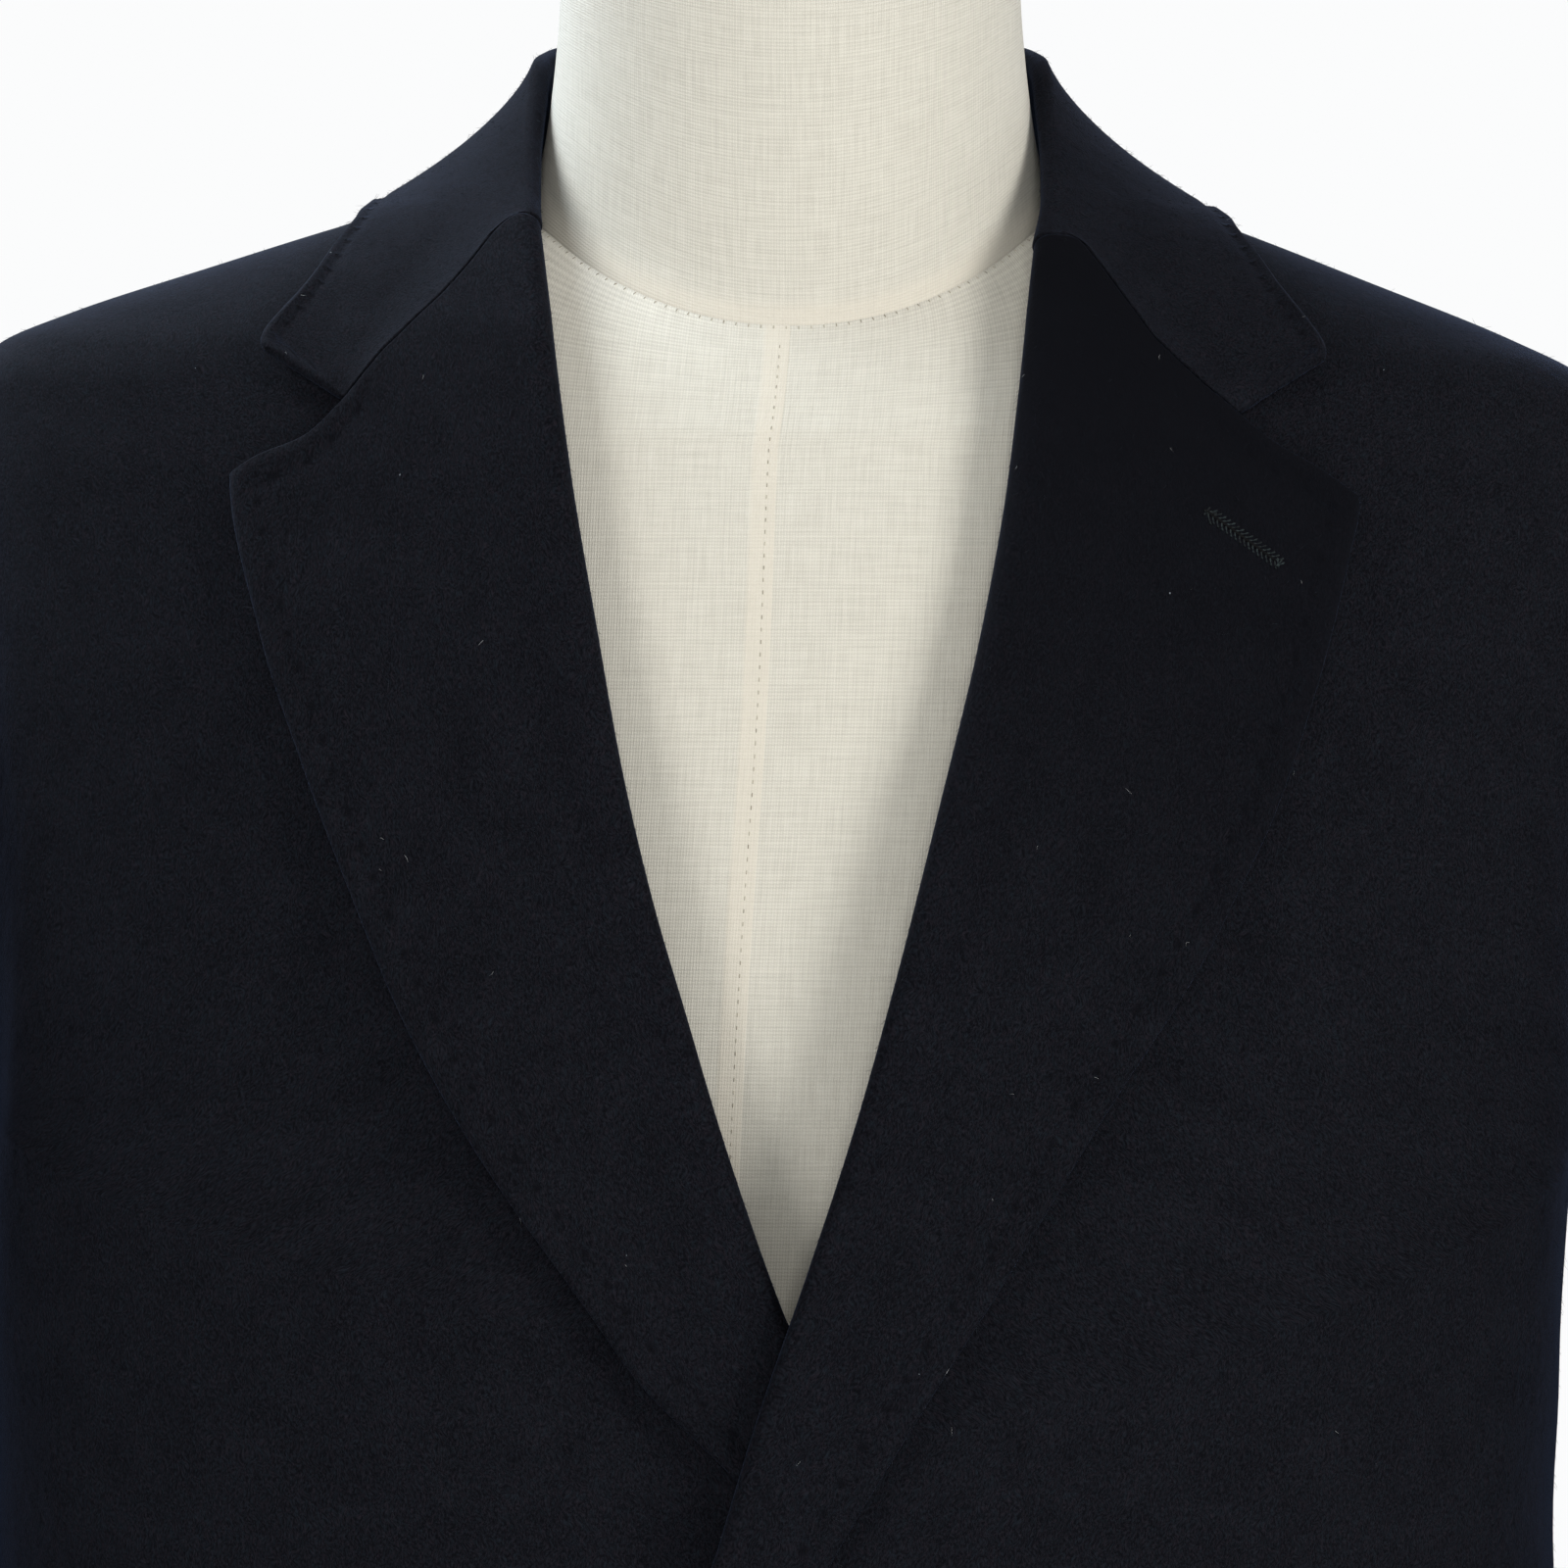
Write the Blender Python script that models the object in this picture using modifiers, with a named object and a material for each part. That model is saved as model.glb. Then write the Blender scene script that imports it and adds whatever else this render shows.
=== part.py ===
"""A single-breasted wool overcoat with notch lapels, on a dress form with a pole and a round base.

Metres, +Z up. The coat faces -Y and its wearer's left is +X. The origin is on the floor, under the
middle of the base. Heights are above the floor. Each cloth piece is a sheet of points worked out on
the coat's own surface, given its thickness by Solidify, and stays a seam's width from the next.
"""
import math

import bmesh
import bpy
import numpy as np

PANEL_WALL = 0.0024
LAPEL_WALL = 0.0028
COLLAR_WALL = 0.0026
SEAM = 0.0003

HEM = 0.440
UNDERARM = 1.190
SHOULDER_POINT = 1.385
LAP = 0.025
SQUARENESS = 2.25


class Table:
    """Rows under named columns, read along the first column by a smooth curve that never overshoots."""

    def __init__(self, columns, rows):
        self.columns = columns.split()
        self.rows = np.array(rows, dtype=float)

    def column(self, name):
        return self.rows[:, self.columns.index(name)]

    def read(self, name, at):
        return smooth_curve(self.rows[:, 0], self.column(name), at)


def smooth_curve(keys, values, at):
    """Cubic through (keys, values), with the harmonic mean of the two slopes at each key."""
    step = np.diff(keys)
    slope = np.diff(values) / step
    tangent = np.zeros(len(values))
    tangent[0] = slope[0]
    tangent[-1] = slope[-1]
    same_way = slope[:-1] * slope[1:] > 0
    total = np.where(same_way, slope[:-1] + slope[1:], 1)
    tangent[1:-1] = np.where(same_way, 2 * slope[:-1] * slope[1:] / total, 0)
    at = np.clip(at, keys[0], keys[-1])
    i = np.clip(np.searchsorted(keys, at) - 1, 0, len(keys) - 2)
    t = (at - keys[i]) / step[i]
    start = (2 * t ** 3 - 3 * t ** 2 + 1) * values[i] + (t ** 3 - 2 * t ** 2 + t) * step[i] * tangent[i]
    end = (3 * t ** 2 - 2 * t ** 3) * values[i + 1] + (t ** 3 - t ** 2) * step[i] * tangent[i + 1]
    return start + end


def ease(value):
    """Smooth step from 0 to 1."""
    value = np.clip(value, 0, 1)
    return value * value * (3 - 2 * value)


def unit(vectors):
    return vectors / np.linalg.norm(vectors, axis=-1, keepdims=True)


def route(points, samples=160):
    """Smooth curve through a few points, sampled evenly along its length."""
    points = np.asarray(points, dtype=float)
    along = np.r_[0, np.cumsum(np.linalg.norm(np.diff(points, axis=0), axis=1))]
    fine = np.linspace(0, along[-1], 4 * samples)
    dense = np.stack([smooth_curve(along, points[:, axis], fine) for axis in range(points.shape[1])], -1)
    return walk(dense, np.linspace(0, 1, samples))


def walk(line, fractions):
    """Points at the given fractions of a line's length."""
    along = np.r_[0, np.cumsum(np.linalg.norm(np.diff(line, axis=0), axis=1))]
    at = np.asarray(fractions) * along[-1]
    return np.stack([np.interp(at, along, line[:, axis]) for axis in range(line.shape[1])], -1)


def stations(*stretches):
    """Fractions from 0 to 1 along a line, in stretches of (end, count)."""
    marks = [0.0]
    for end, count in stretches:
        marks.extend(np.linspace(marks[-1], end, count + 1)[1:])
    return np.array(marks)


def length(line):
    return np.linalg.norm(np.diff(line, axis=0), axis=1).sum()


# The coat's surface: one rounded section for each height

COAT = Table("height centre half_width front back", [
    (0.440, 0.000, 0.2380, 0.1580, 0.1720),
    (0.600, 0.000, 0.2300, 0.1540, 0.1660),
    (0.800, -0.002, 0.2205, 0.1490, 0.1550),
    (0.950, -0.004, 0.2135, 0.1430, 0.1420),
    (1.030, -0.004, 0.2130, 0.1400, 0.1330),
    (1.080, -0.004, 0.2135, 0.1392, 0.1330),
    (1.120, -0.004, 0.2150, 0.1390, 0.1340),
    (1.165, -0.003, 0.2165, 0.1382, 0.1370),
    (1.190, 0.000, 0.2178, 0.1365, 0.1392),
    (1.250, 0.000, 0.2245, 0.1300, 0.1425),
    (1.300, 0.000, 0.2305, 0.1200, 0.1400),
    (1.350, 0.000, 0.2325, 0.1030, 0.1270),
    (1.380, 0.000, 0.2285, 0.0890, 0.1130),
    (1.392, 0.000, 0.2185, 0.0820, 0.1060),
    (1.401, 0.000, 0.2000, 0.0750, 0.0990),
    (1.416, 0.000, 0.1600, 0.0630, 0.0880),
    (1.431, 0.000, 0.1180, 0.0500, 0.0770),
    (1.4365, 0.000, 0.1000, 0.0445, 0.0725),
    (1.4425, 0.000, 0.0780, 0.0380, 0.0680),
    (1.449, 0.000, 0.0540, 0.0310, 0.0635),
    (1.456, 0.000, 0.0300, 0.0220, 0.0580),
])
FLUTE_DEPTH = 0.0065
FLUTE_TOP = 0.95
SHOULDER_LOWEST = 1.36
SLOPE_STEP = 0.0005


def coat_section(height, rear):
    """Centre, half width and depth of the coat at a height, the depth on the front or the back."""
    depth = np.where(rear, COAT.read("back", height), COAT.read("front", height))
    return COAT.read("centre", height), COAT.read("half_width", height), depth


def flutes(angle, height):
    """The skirt's shallow folds, growing from nothing at the waist to their depth at the hem."""
    turn = np.radians(angle)
    drop = np.clip((FLUTE_TOP - height) / (FLUTE_TOP - HEM), 0, 1) ** 1.6
    return FLUTE_DEPTH * drop * (0.6 * np.cos(5 * turn + 0.5) + 0.4 * np.cos(8 * turn - 0.9))


def coat_round(angle, height):
    """Point of the coat's surface: angle 0 is the centre front, 90 the left side, 180 the centre back."""
    turn = np.radians(angle)
    centre, half_width, depth = coat_section(height, np.cos(turn) < 0)
    swing = 1 + flutes(angle, height) / 0.19
    x = half_width * np.sign(np.sin(turn)) * np.abs(np.sin(turn)) ** (2 / SQUARENESS)
    y = -depth * np.sign(np.cos(turn)) * np.abs(np.cos(turn)) ** (2 / SQUARENESS)
    return np.stack([centre + x * swing, y * swing, height + 0 * x], -1)


def coat_angle(points):
    """The angle at which coat_round gives each point, worked back from where it lies."""
    x, y, height = np.moveaxis(points, -1, 0)
    centre, half_width, depth = coat_section(height, y > 0)
    sine = np.abs((x - centre) / half_width) ** (SQUARENESS / 2)
    cosine = np.abs(y / depth) ** (SQUARENESS / 2)
    quarter = np.degrees(np.arctan2(sine, cosine))
    return np.sign(x - centre + 1e-12) * np.where(y > 0, 180 - quarter, quarter)


def coat_level(points):
    """1 on the coat's surface and more outside it, with its slope in x, y and z."""
    x, y, height = np.moveaxis(points, -1, 0)
    centre, half_width, depth = coat_section(height, y > 0)
    above = coat_section(height + SLOPE_STEP, y > 0)
    below = coat_section(height - SLOPE_STEP, y > 0)
    rise = [(high - low) / (2 * SLOPE_STEP) for high, low in zip(above, below)]
    u = np.abs(x - centre) / half_width
    w = np.abs(y) / depth
    level = np.maximum(u ** SQUARENESS + w ** SQUARENESS, 1e-9) ** (1 / SQUARENESS)
    share = level ** (1 - SQUARENESS)
    along_x = share * u ** (SQUARENESS - 1) * np.sign(x - centre) / half_width
    along_y = share * w ** (SQUARENESS - 1) * np.sign(y) / depth
    along_z = -along_x * ((x - centre) / half_width * rise[1] + rise[0]) - along_y * y / depth * rise[2]
    return level, np.stack([along_x, along_y, along_z], -1)


def coat_normal(points):
    """Unit vector out of the coat."""
    return unit(coat_level(points)[1])


def coat_front(x, height):
    """Point of the front's surface at a place across and a height."""
    centre, half_width, depth = coat_section(height, False)
    share = np.clip(np.abs(x - centre) / half_width, 0, 0.9999)
    y = -depth * (1 - share ** SQUARENESS) ** (1 / SQUARENESS)
    return np.stack([x + 0 * y, y, height + 0 * y], -1)


def coat_top(x, y):
    """Point of the coat's surface over a place on the shoulders, its height found by halving."""
    low = np.full(np.shape(x), SHOULDER_LOWEST)
    high = np.full(np.shape(x), COAT.rows[-1, 0])
    for _ in range(40):
        middle = (low + high) / 2
        inside = coat_level(np.stack([x, y, middle], -1))[0] < 1
        low = np.where(inside, middle, low)
        high = np.where(inside, high, middle)
    return np.stack([x, y, (low + high) / 2], -1)


def keep_clear(points, clearance, share):
    """Move points out until they stand the clearance off the coat, as far as the share given."""
    for _ in range(4):
        level, slope = coat_level(points)
        steep = np.linalg.norm(slope, axis=-1)
        short = np.maximum(clearance - (level - 1) / steep, 0) * share
        points = points + (short / steep)[..., None] * slope
    return points


# The right front passes under the left, and deeper where its own lapel ends between them

UNDERLAP = Table("height inward", [
    (0.440, 0.0038),
    (0.990, 0.0038),
    (1.050, 0.0096),
    (1.150, 0.0096),
    (1.240, 0.0045),
    (1.340, 0.0010),
    (1.420, 0.0000),
])
UNDERLAP_FROM = -0.085
UNDERLAP_FULL = -0.030


def settle(side, points, lift):
    """Lift points off the coat's surface, less what the right front gives way to the left."""
    inward = 0
    if side < 0:
        reach = ease((points[..., 0] - UNDERLAP_FROM) / (UNDERLAP_FULL - UNDERLAP_FROM))
        inward = UNDERLAP.read("inward", points[..., 2]) * reach
    return points + ((lift - inward) * np.ones(points.shape[:-1]))[..., None] * coat_normal(points)


def settled_normal(side, points):
    """Unit vector out of the front as it lies after settling, from its slopes across and up."""
    step = 0.002
    x, height = points[..., 0], points[..., 2]
    across = settle(side, coat_front(x + step, height), 0) - settle(side, coat_front(x - step, height), 0)
    up = settle(side, coat_front(x, height + step), 0) - settle(side, coat_front(x, height - step), 0)
    return unit(np.cross(across, up))


# Lapels: the roll line and the outer edge at each height, measured across from the centre

LAPELS = {
    1: {
        "line": Table("height roll edge", [
            (1.030, -0.0250, -0.0155),
            (1.060, -0.0240, 0.0025),
            (1.080, -0.0183, 0.0135),
            (1.110, -0.0093, 0.0317),
            (1.150, 0.0032, 0.0571),
            (1.190, 0.0165, 0.0814),
            (1.230, 0.0288, 0.1070),
            (1.270, 0.0421, 0.1266),
            (1.310, 0.0515, 0.1400),
            (1.338, 0.0560, 0.1475),
            (1.354, 0.0583, 0.1510),
            (1.418, 0.0660, 0.1510),
        ]),
        "corner": 1.354,
        "top": [(0.151, 1.354), (0.139, 1.362), (0.128, 1.368), (0.1185, 1.3755)],
        "gorge": [(0.066, 1.418), (0.0746, 1.417), (0.080, 1.413), (0.1026, 1.3896), (0.1185, 1.3755)],
        "collar_corner": (0.1425, 1.392),
    },
    -1: {
        "line": Table("height roll edge", [
            (1.068, -0.0250, -0.0165),
            (1.080, -0.0205, -0.0010),
            (1.100, -0.0135, 0.0190),
            (1.120, -0.0065, 0.0390),
            (1.140, 0.0025, 0.0532),
            (1.185, 0.0180, 0.0845),
            (1.215, 0.0270, 0.1012),
            (1.245, 0.0360, 0.1141),
            (1.279, 0.0440, 0.1275),
            (1.315, 0.0505, 0.1400),
            (1.357, 0.0578, 0.1490),
            (1.424, 0.0670, 0.1490),
        ]),
        "corner": 1.357,
        "top": [(0.149, 1.357), (0.142, 1.362), (0.129, 1.368), (0.1186, 1.378)],
        "gorge": [(0.067, 1.424), (0.076, 1.421), (0.0835, 1.414), (0.106, 1.394), (0.1186, 1.378)],
        "collar_corner": (0.141, 1.392),
    },
}
ROLL_RADIUS_LOW = 0.0024
ROLL_RADIUS_TOP = 0.0042
LAPEL_EDGE_LIFT = 0.0044
GORGE_SHARE = 0.632


def roll_radius(height):
    """The lapel's roll is tight at the break and soft at the neck."""
    share = ease((height - 1.06) / 0.32)
    return ROLL_RADIUS_LOW + (ROLL_RADIUS_TOP - ROLL_RADIUS_LOW) * share


def roll_frame(side, fractions):
    """Roll line's points on the coat, the way out of the coat, and the way back over the front."""
    line = LAPELS[side]["line"]
    heights = np.linspace(line.rows[0, 0], line.rows[-1, 0], 200)
    whole = coat_front(side * line.read("roll", heights), heights)
    points = walk(whole, fractions)
    ahead = walk(whole, np.clip(fractions + 0.004, 0, 1))
    behind = walk(whole, np.clip(fractions - 0.004, 0, 1))
    out = coat_normal(points)
    return points, out, side * unit(np.cross(unit(ahead - behind), out))


def panel_roll(side, fractions):
    """Where the front panel ends and its lapel's fold begins."""
    points, _, over = roll_frame(side, fractions)
    reach = roll_radius(points[:, 2]) + LAPEL_WALL / 2
    return points + reach[:, None] * over


def gorge_line(side, fractions):
    """Lapel's top row in (across, height): the gorge from the neck to the notch, then the top edge."""
    start = panel_roll(side, np.array([1.0]))[0]
    shape = LAPELS[side]
    gorge = route([(side * start[0], start[2])] + shape["gorge"][1:], 60)
    top = route(shape["top"][::-1], 40)
    share = np.asarray(fractions)
    near = walk(gorge, np.clip(share / GORGE_SHARE, 0, 1))
    far = walk(top, np.clip((share - GORGE_SHARE) / (1 - GORGE_SHARE), 0, 1))
    return np.where((share <= GORGE_SHARE)[:, None], near, far)


def lapel_lift(height, share):
    """How far the lapel's turned layer stands off the front, from the fold to its edge."""
    soft = 2 * roll_radius(height)
    return soft + (LAPEL_EDGE_LIFT - soft) * ease(share) ** 0.8


# Scene, materials and the ways of making a solid

for leftover in list(bpy.data.objects):
    bpy.data.objects.remove(leftover)

coat_parts = bpy.data.collections.new("overcoat_on_form")
bpy.context.scene.collection.children.link(coat_parts)


def material(name, colour, roughness, metallic=0.0):
    """Principled material of one colour."""
    finish = bpy.data.materials.new(name)
    finish.use_nodes = True
    shader = finish.node_tree.nodes["Principled BSDF"]
    shader.inputs["Base Color"].default_value = (*colour, 1)
    shader.inputs["Roughness"].default_value = roughness
    shader.inputs["Metallic"].default_value = metallic
    finish.diffuse_color = (*colour, 1)
    return finish


def place(name, mesh, finish):
    """New object of the coat's collection, shaded smooth but for its sharp edges."""
    solid = bpy.data.objects.new(name, mesh)
    coat_parts.objects.link(solid)
    mesh.materials.append(finish)
    mesh.shade_smooth()
    mesh.set_sharp_from_angle(angle=math.radians(35))
    return solid


def trim(points, edges):
    """Draw the named edges of a sheet of points in by a seam's share."""
    points = points.copy()
    for edge, distance in edges.items():
        rim, inner = {"start": (np.s_[0], np.s_[1]), "end": (np.s_[-1], np.s_[-2]),
                      "left": (np.s_[:, 0], np.s_[:, 1]), "right": (np.s_[:, -1], np.s_[:, -2])}[edge]
        points[rim] = points[rim] + distance * unit(points[inner] - points[rim])
    return points


def cloth(name, points, wall, finish):
    """A sheet of points (rows, columns, 3) made a wall, half its thickness to each side."""
    rows, columns = points.shape[:2]
    mesh = bpy.data.meshes.new(name)
    sheet = bmesh.new()
    bmesh.ops.create_grid(sheet, x_segments=columns - 1, y_segments=rows - 1, size=1)
    for vertex in sheet.verts:
        column = round((vertex.co.x + 1) / 2 * (columns - 1))
        row = round((vertex.co.y + 1) / 2 * (rows - 1))
        vertex.co = points[row, column]
    sheet.to_mesh(mesh)
    sheet.free()
    solid = place(name, mesh, finish)
    thicken = solid.modifiers.new("Wall", "SOLIDIFY")
    thicken.thickness = wall
    thicken.offset = 0
    thicken.use_even_offset = False
    thicken.use_quality_normals = True
    return solid


def loft(name, rings, finish):
    """Closed solid through rings of points (rings, around, 3), each end closed about its middle."""
    mesh = bpy.data.meshes.new(name)
    body = bmesh.new()
    loops = [[body.verts.new(point) for point in ring] for ring in rings]
    for low, high in zip(loops, loops[1:]):
        for i in range(len(low)):
            j = (i + 1) % len(low)
            body.faces.new((low[i], low[j], high[j], high[i]))
    for ring in (loops[0], loops[-1]):
        hub = body.verts.new(np.mean([vertex.co for vertex in ring], axis=0))
        for i in range(len(ring)):
            body.faces.new((ring[i], ring[(i + 1) % len(ring)], hub))
    bmesh.ops.recalc_face_normals(body, faces=body.faces)
    body.to_mesh(mesh)
    body.free()
    return place(name, mesh, finish)


def side_name(side):
    return "left" if side > 0 else "right"


# Fronts and backs

ARMHOLE_FRONT = 20.0
ARMHOLE_BACK = 27.0
NECK_SIDE = (0.078, 0.0)
NECK_FRONT = (0.0755, -0.030)
NECKLINE = Table("share across depth", [
    (0.00, 0.0000, 0.0620),
    (0.28, 0.0380, 0.0555),
    (0.56, 0.0660, 0.0350),
    (1.00, 0.0780, 0.0000),
])
ARMHOLE_TURNS = np.insert(np.arange(0, 181, 12.0), -1, 177.0)


def armhole(turn):
    """Angle and height on the coat of the armhole: turn 0 is its top, 90 its front, 180 the underarm."""
    swing = np.sin(np.radians(turn))
    middle = (UNDERARM + SHOULDER_POINT) / 2
    half = (SHOULDER_POINT - UNDERARM) / 2
    reach = np.where(swing > 0, ARMHOLE_FRONT, ARMHOLE_BACK)
    return 90 - reach * swing, middle + half * np.cos(np.radians(turn))


def flat_on_coat(points):
    """Angle and height of points of the coat's surface."""
    return np.stack([coat_angle(points), points[..., 2]], -1)


def lay_between(outer, inner, columns):
    """Sheet of the coat's surface between two lines of as many points, at the fractions given."""
    share = columns[None, :, None]
    mixed = flat_on_coat(outer)[:, None] * (1 - share) + flat_on_coat(inner)[:, None] * share
    return coat_round(mixed[..., 0], mixed[..., 1])


def side_line(side, front, rows_below):
    """Side seam from the hem to the underarm, then the armhole's front or back to the shoulder point."""
    heights = np.linspace(HEM, UNDERARM, 120)
    seam = coat_round(side * (89.9 if front else 90.1) + 0 * heights, heights)
    angle, height = armhole(180 - ARMHOLE_TURNS if front else 180 + ARMHOLE_TURNS)
    angle = np.minimum(angle, 89.9) if front else np.maximum(angle, 90.1)
    opening = coat_round(side * angle, height)
    below = walk(seam, stations((0.004, 1), (1, rows_below - 1)))
    return np.concatenate([below, opening[1:]])


def neckline_back(side, samples=60):
    """Back neckline from the centre to the shoulder seam."""
    share = np.linspace(0, 1, samples)
    return coat_top(side * NECKLINE.read("across", share), np.maximum(NECKLINE.read("depth", share), 1e-4))


def neckline_front(side):
    """Front neckline from the top of the roll line to the shoulder seam."""
    start = panel_roll(side, np.array([1.0]))[0]
    x = np.array([side * start[0], NECK_FRONT[0], NECK_SIDE[0]])
    y = np.array([start[1], NECK_FRONT[1], -1e-4])
    rest = route(np.stack([x, y], -1), 40)
    line = coat_top(side * rest[:, 0], rest[:, 1])
    line[0] = start
    return line


def front_edge(side, rows_edge):
    """Front edge from the hem, the roll line from the break to the neck, then the front neckline."""
    heights = np.linspace(HEM, LAPELS[side]["line"].rows[0, 0] - 0.015, 60)
    edge = coat_front(-side * LAP + 0 * heights, heights)
    low = walk(edge, stations((0.006, 1), (1, rows_edge - 1)))
    high = walk(neckline_front(side), np.insert(np.linspace(0, 1, FRONT_NECK_ROWS + 1), -1, 0.98))
    return np.concatenate([low, panel_roll(side, LAPEL_ROWS), high[1:]])


LAPEL_ROWS = stations((0.02, 1), (0.985, 10), (1, 1))
BACK_NECK_ROWS = 8
FRONT_NECK_ROWS = 5
PANEL_COLUMNS = stations((0.015, 1), (0.985, 9), (1, 1))
BACK_COLUMNS = stations((0.015, 1), (0.985, 8), (1, 1))
PANEL_SEAMS = {"left": 0.6 * SEAM, "right": 0.6 * SEAM, "end": 0.9 * SEAM}


def front_panel(side, finish):
    """Front from its side seam and armhole to its edge, roll line and neckline."""
    sheet = lay_between(side_line(side, True, 15), front_edge(side, 12), PANEL_COLUMNS)
    sheet = settle(side, sheet, 0)
    return cloth(side_name(side) + "_front", trim(sheet, PANEL_SEAMS), PANEL_WALL, finish)


def back_panel(side, finish):
    """Back from its side seam and armhole to the centre-back seam and the back neckline."""
    neckline = neckline_back(side)
    heights = np.linspace(HEM, neckline[0, 2], 200)
    centre = coat_round(side * 179.99 + 0 * heights, heights)
    low = walk(centre, stations((0.004, 1), (0.61, 11), (1, 7)))
    high = walk(neckline, np.insert(np.linspace(0, 1, BACK_NECK_ROWS + 1), -1, 0.98))
    sheet = lay_between(side_line(side, False, 12), np.concatenate([low, high[1:]]), BACK_COLUMNS)
    return cloth(side_name(side) + "_back", trim(sheet, PANEL_SEAMS), PANEL_WALL, finish)


# Lapels: the fold at the roll line, then the layer that lies on the front

FOLD_TURNS = np.radians((0, 14, 38, 64, 90, 120, 150, 180))
LAPEL_SHARES = np.r_[np.linspace(0, GORGE_SHARE, 5)[1:], 0.81, 0.985, 1.0]


def gorge_points(side, shares):
    """The gorge seam and the lapel's top edge where they lie, off the front by the lapel's lift."""
    flat = gorge_line(side, shares)
    roll_top = LAPELS[side]["line"].rows[-1, 0]
    return settle(side, coat_front(side * flat[:, 0], flat[:, 1]), lapel_lift(roll_top, shares))


def lapel(side, finish):
    """Lapel from its fold to its outer edge, from the break up to the gorge and the notch."""
    shape = LAPELS[side]
    _, out, over = roll_frame(side, LAPEL_ROWS)
    start = panel_roll(side, LAPEL_ROWS)
    seat = settle(side, start, 0)
    out = settled_normal(side, start)
    over = unit(over - out * (over * out).sum(1)[:, None])
    radius = roll_radius(start[:, 2])[:, None, None]
    around = -out[:, None] * np.cos(FOLD_TURNS)[:, None] - over[:, None] * np.sin(FOLD_TURNS)[:, None]
    fold = (seat + out * radius[:, 0])[:, None] + radius * around

    heights = np.linspace(shape["line"].rows[0, 0], shape["corner"], 200)
    edge = walk(np.stack([shape["line"].read("edge", heights), heights], -1), LAPEL_ROWS)
    begin = np.stack([side * start[:, 0], start[:, 2]], -1)
    share = LAPEL_SHARES[None, :, None]
    flat = begin[:, None] * (1 - share) + edge[:, None] * share
    bend = gorge_line(side, LAPEL_SHARES) - flat[-1]
    flat = flat + (LAPEL_ROWS ** 3)[:, None, None] * bend[None]
    lift = lapel_lift(start[:, 2][:, None], LAPEL_SHARES[None])
    layer = settle(side, coat_front(side * flat[..., 0], flat[..., 1]), lift)
    sheet = np.concatenate([fold, layer], axis=1)
    seams = {"left": 0.6 * SEAM, "end": SEAM}
    return cloth(side_name(side) + "_lapel", trim(sheet, seams), LAPEL_WALL, finish)


# Collar: a stand up from the neckline, a fold, and the leaf that falls over the shoulders

COLLAR_FOLD = Table("share across depth height", [
    (0.00, 0.0000, 0.0675, 1.4900),
    (0.18, 0.0325, 0.0607, 1.4885),
    (0.36, 0.0560, 0.0410, 1.4845),
    (0.55, 0.0686, 0.0060, 1.4760),
    (0.65, 0.0690, -0.0090, 1.4655),
    (0.78, 0.0690, -0.0280, 1.4495),
    (0.90, 0.0680, -0.0450, 1.4350),
])
COLLAR_EDGE = Table("share angle height", [
    (0.00, 180.0, 1.4235),
    (0.20, 150.0, 1.4255),
    (0.42, 115.0, 1.4290),
    (0.58, 90.0, 1.4310),
    (0.75, 66.0, 1.4255),
    (0.88, 49.0, 1.4120),
])
SHOULDER_SHARE = 0.55
COLLAR_FOLD_RADIUS = 0.0022
COLLAR_LIFT = 0.0038
COLLAR_SAG = 0.0060
COLLAR_NOTCH = 0.70
LEAF_SHARES = np.r_[np.linspace(0, COLLAR_NOTCH, 5)[1:], 0.85, 0.985, 1.0]


def collar_front(side, shares):
    """The collar's front end where it lies: the gorge seam as far as the notch, then its short end."""
    notch = gorge_points(side, np.array([GORGE_SHARE]))[0]
    x, height = LAPELS[side]["collar_corner"]
    corner = settle(side, coat_front(side * np.array([x]), np.array([height])), COLLAR_LIFT)[0]
    near = gorge_points(side, np.clip(shares / COLLAR_NOTCH, 0, 1) * GORGE_SHARE)
    far = np.clip((shares - COLLAR_NOTCH) / (1 - COLLAR_NOTCH), 0, 1)[:, None]
    return np.where((shares <= COLLAR_NOTCH)[:, None], near, notch + (corner - notch) * far)


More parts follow.
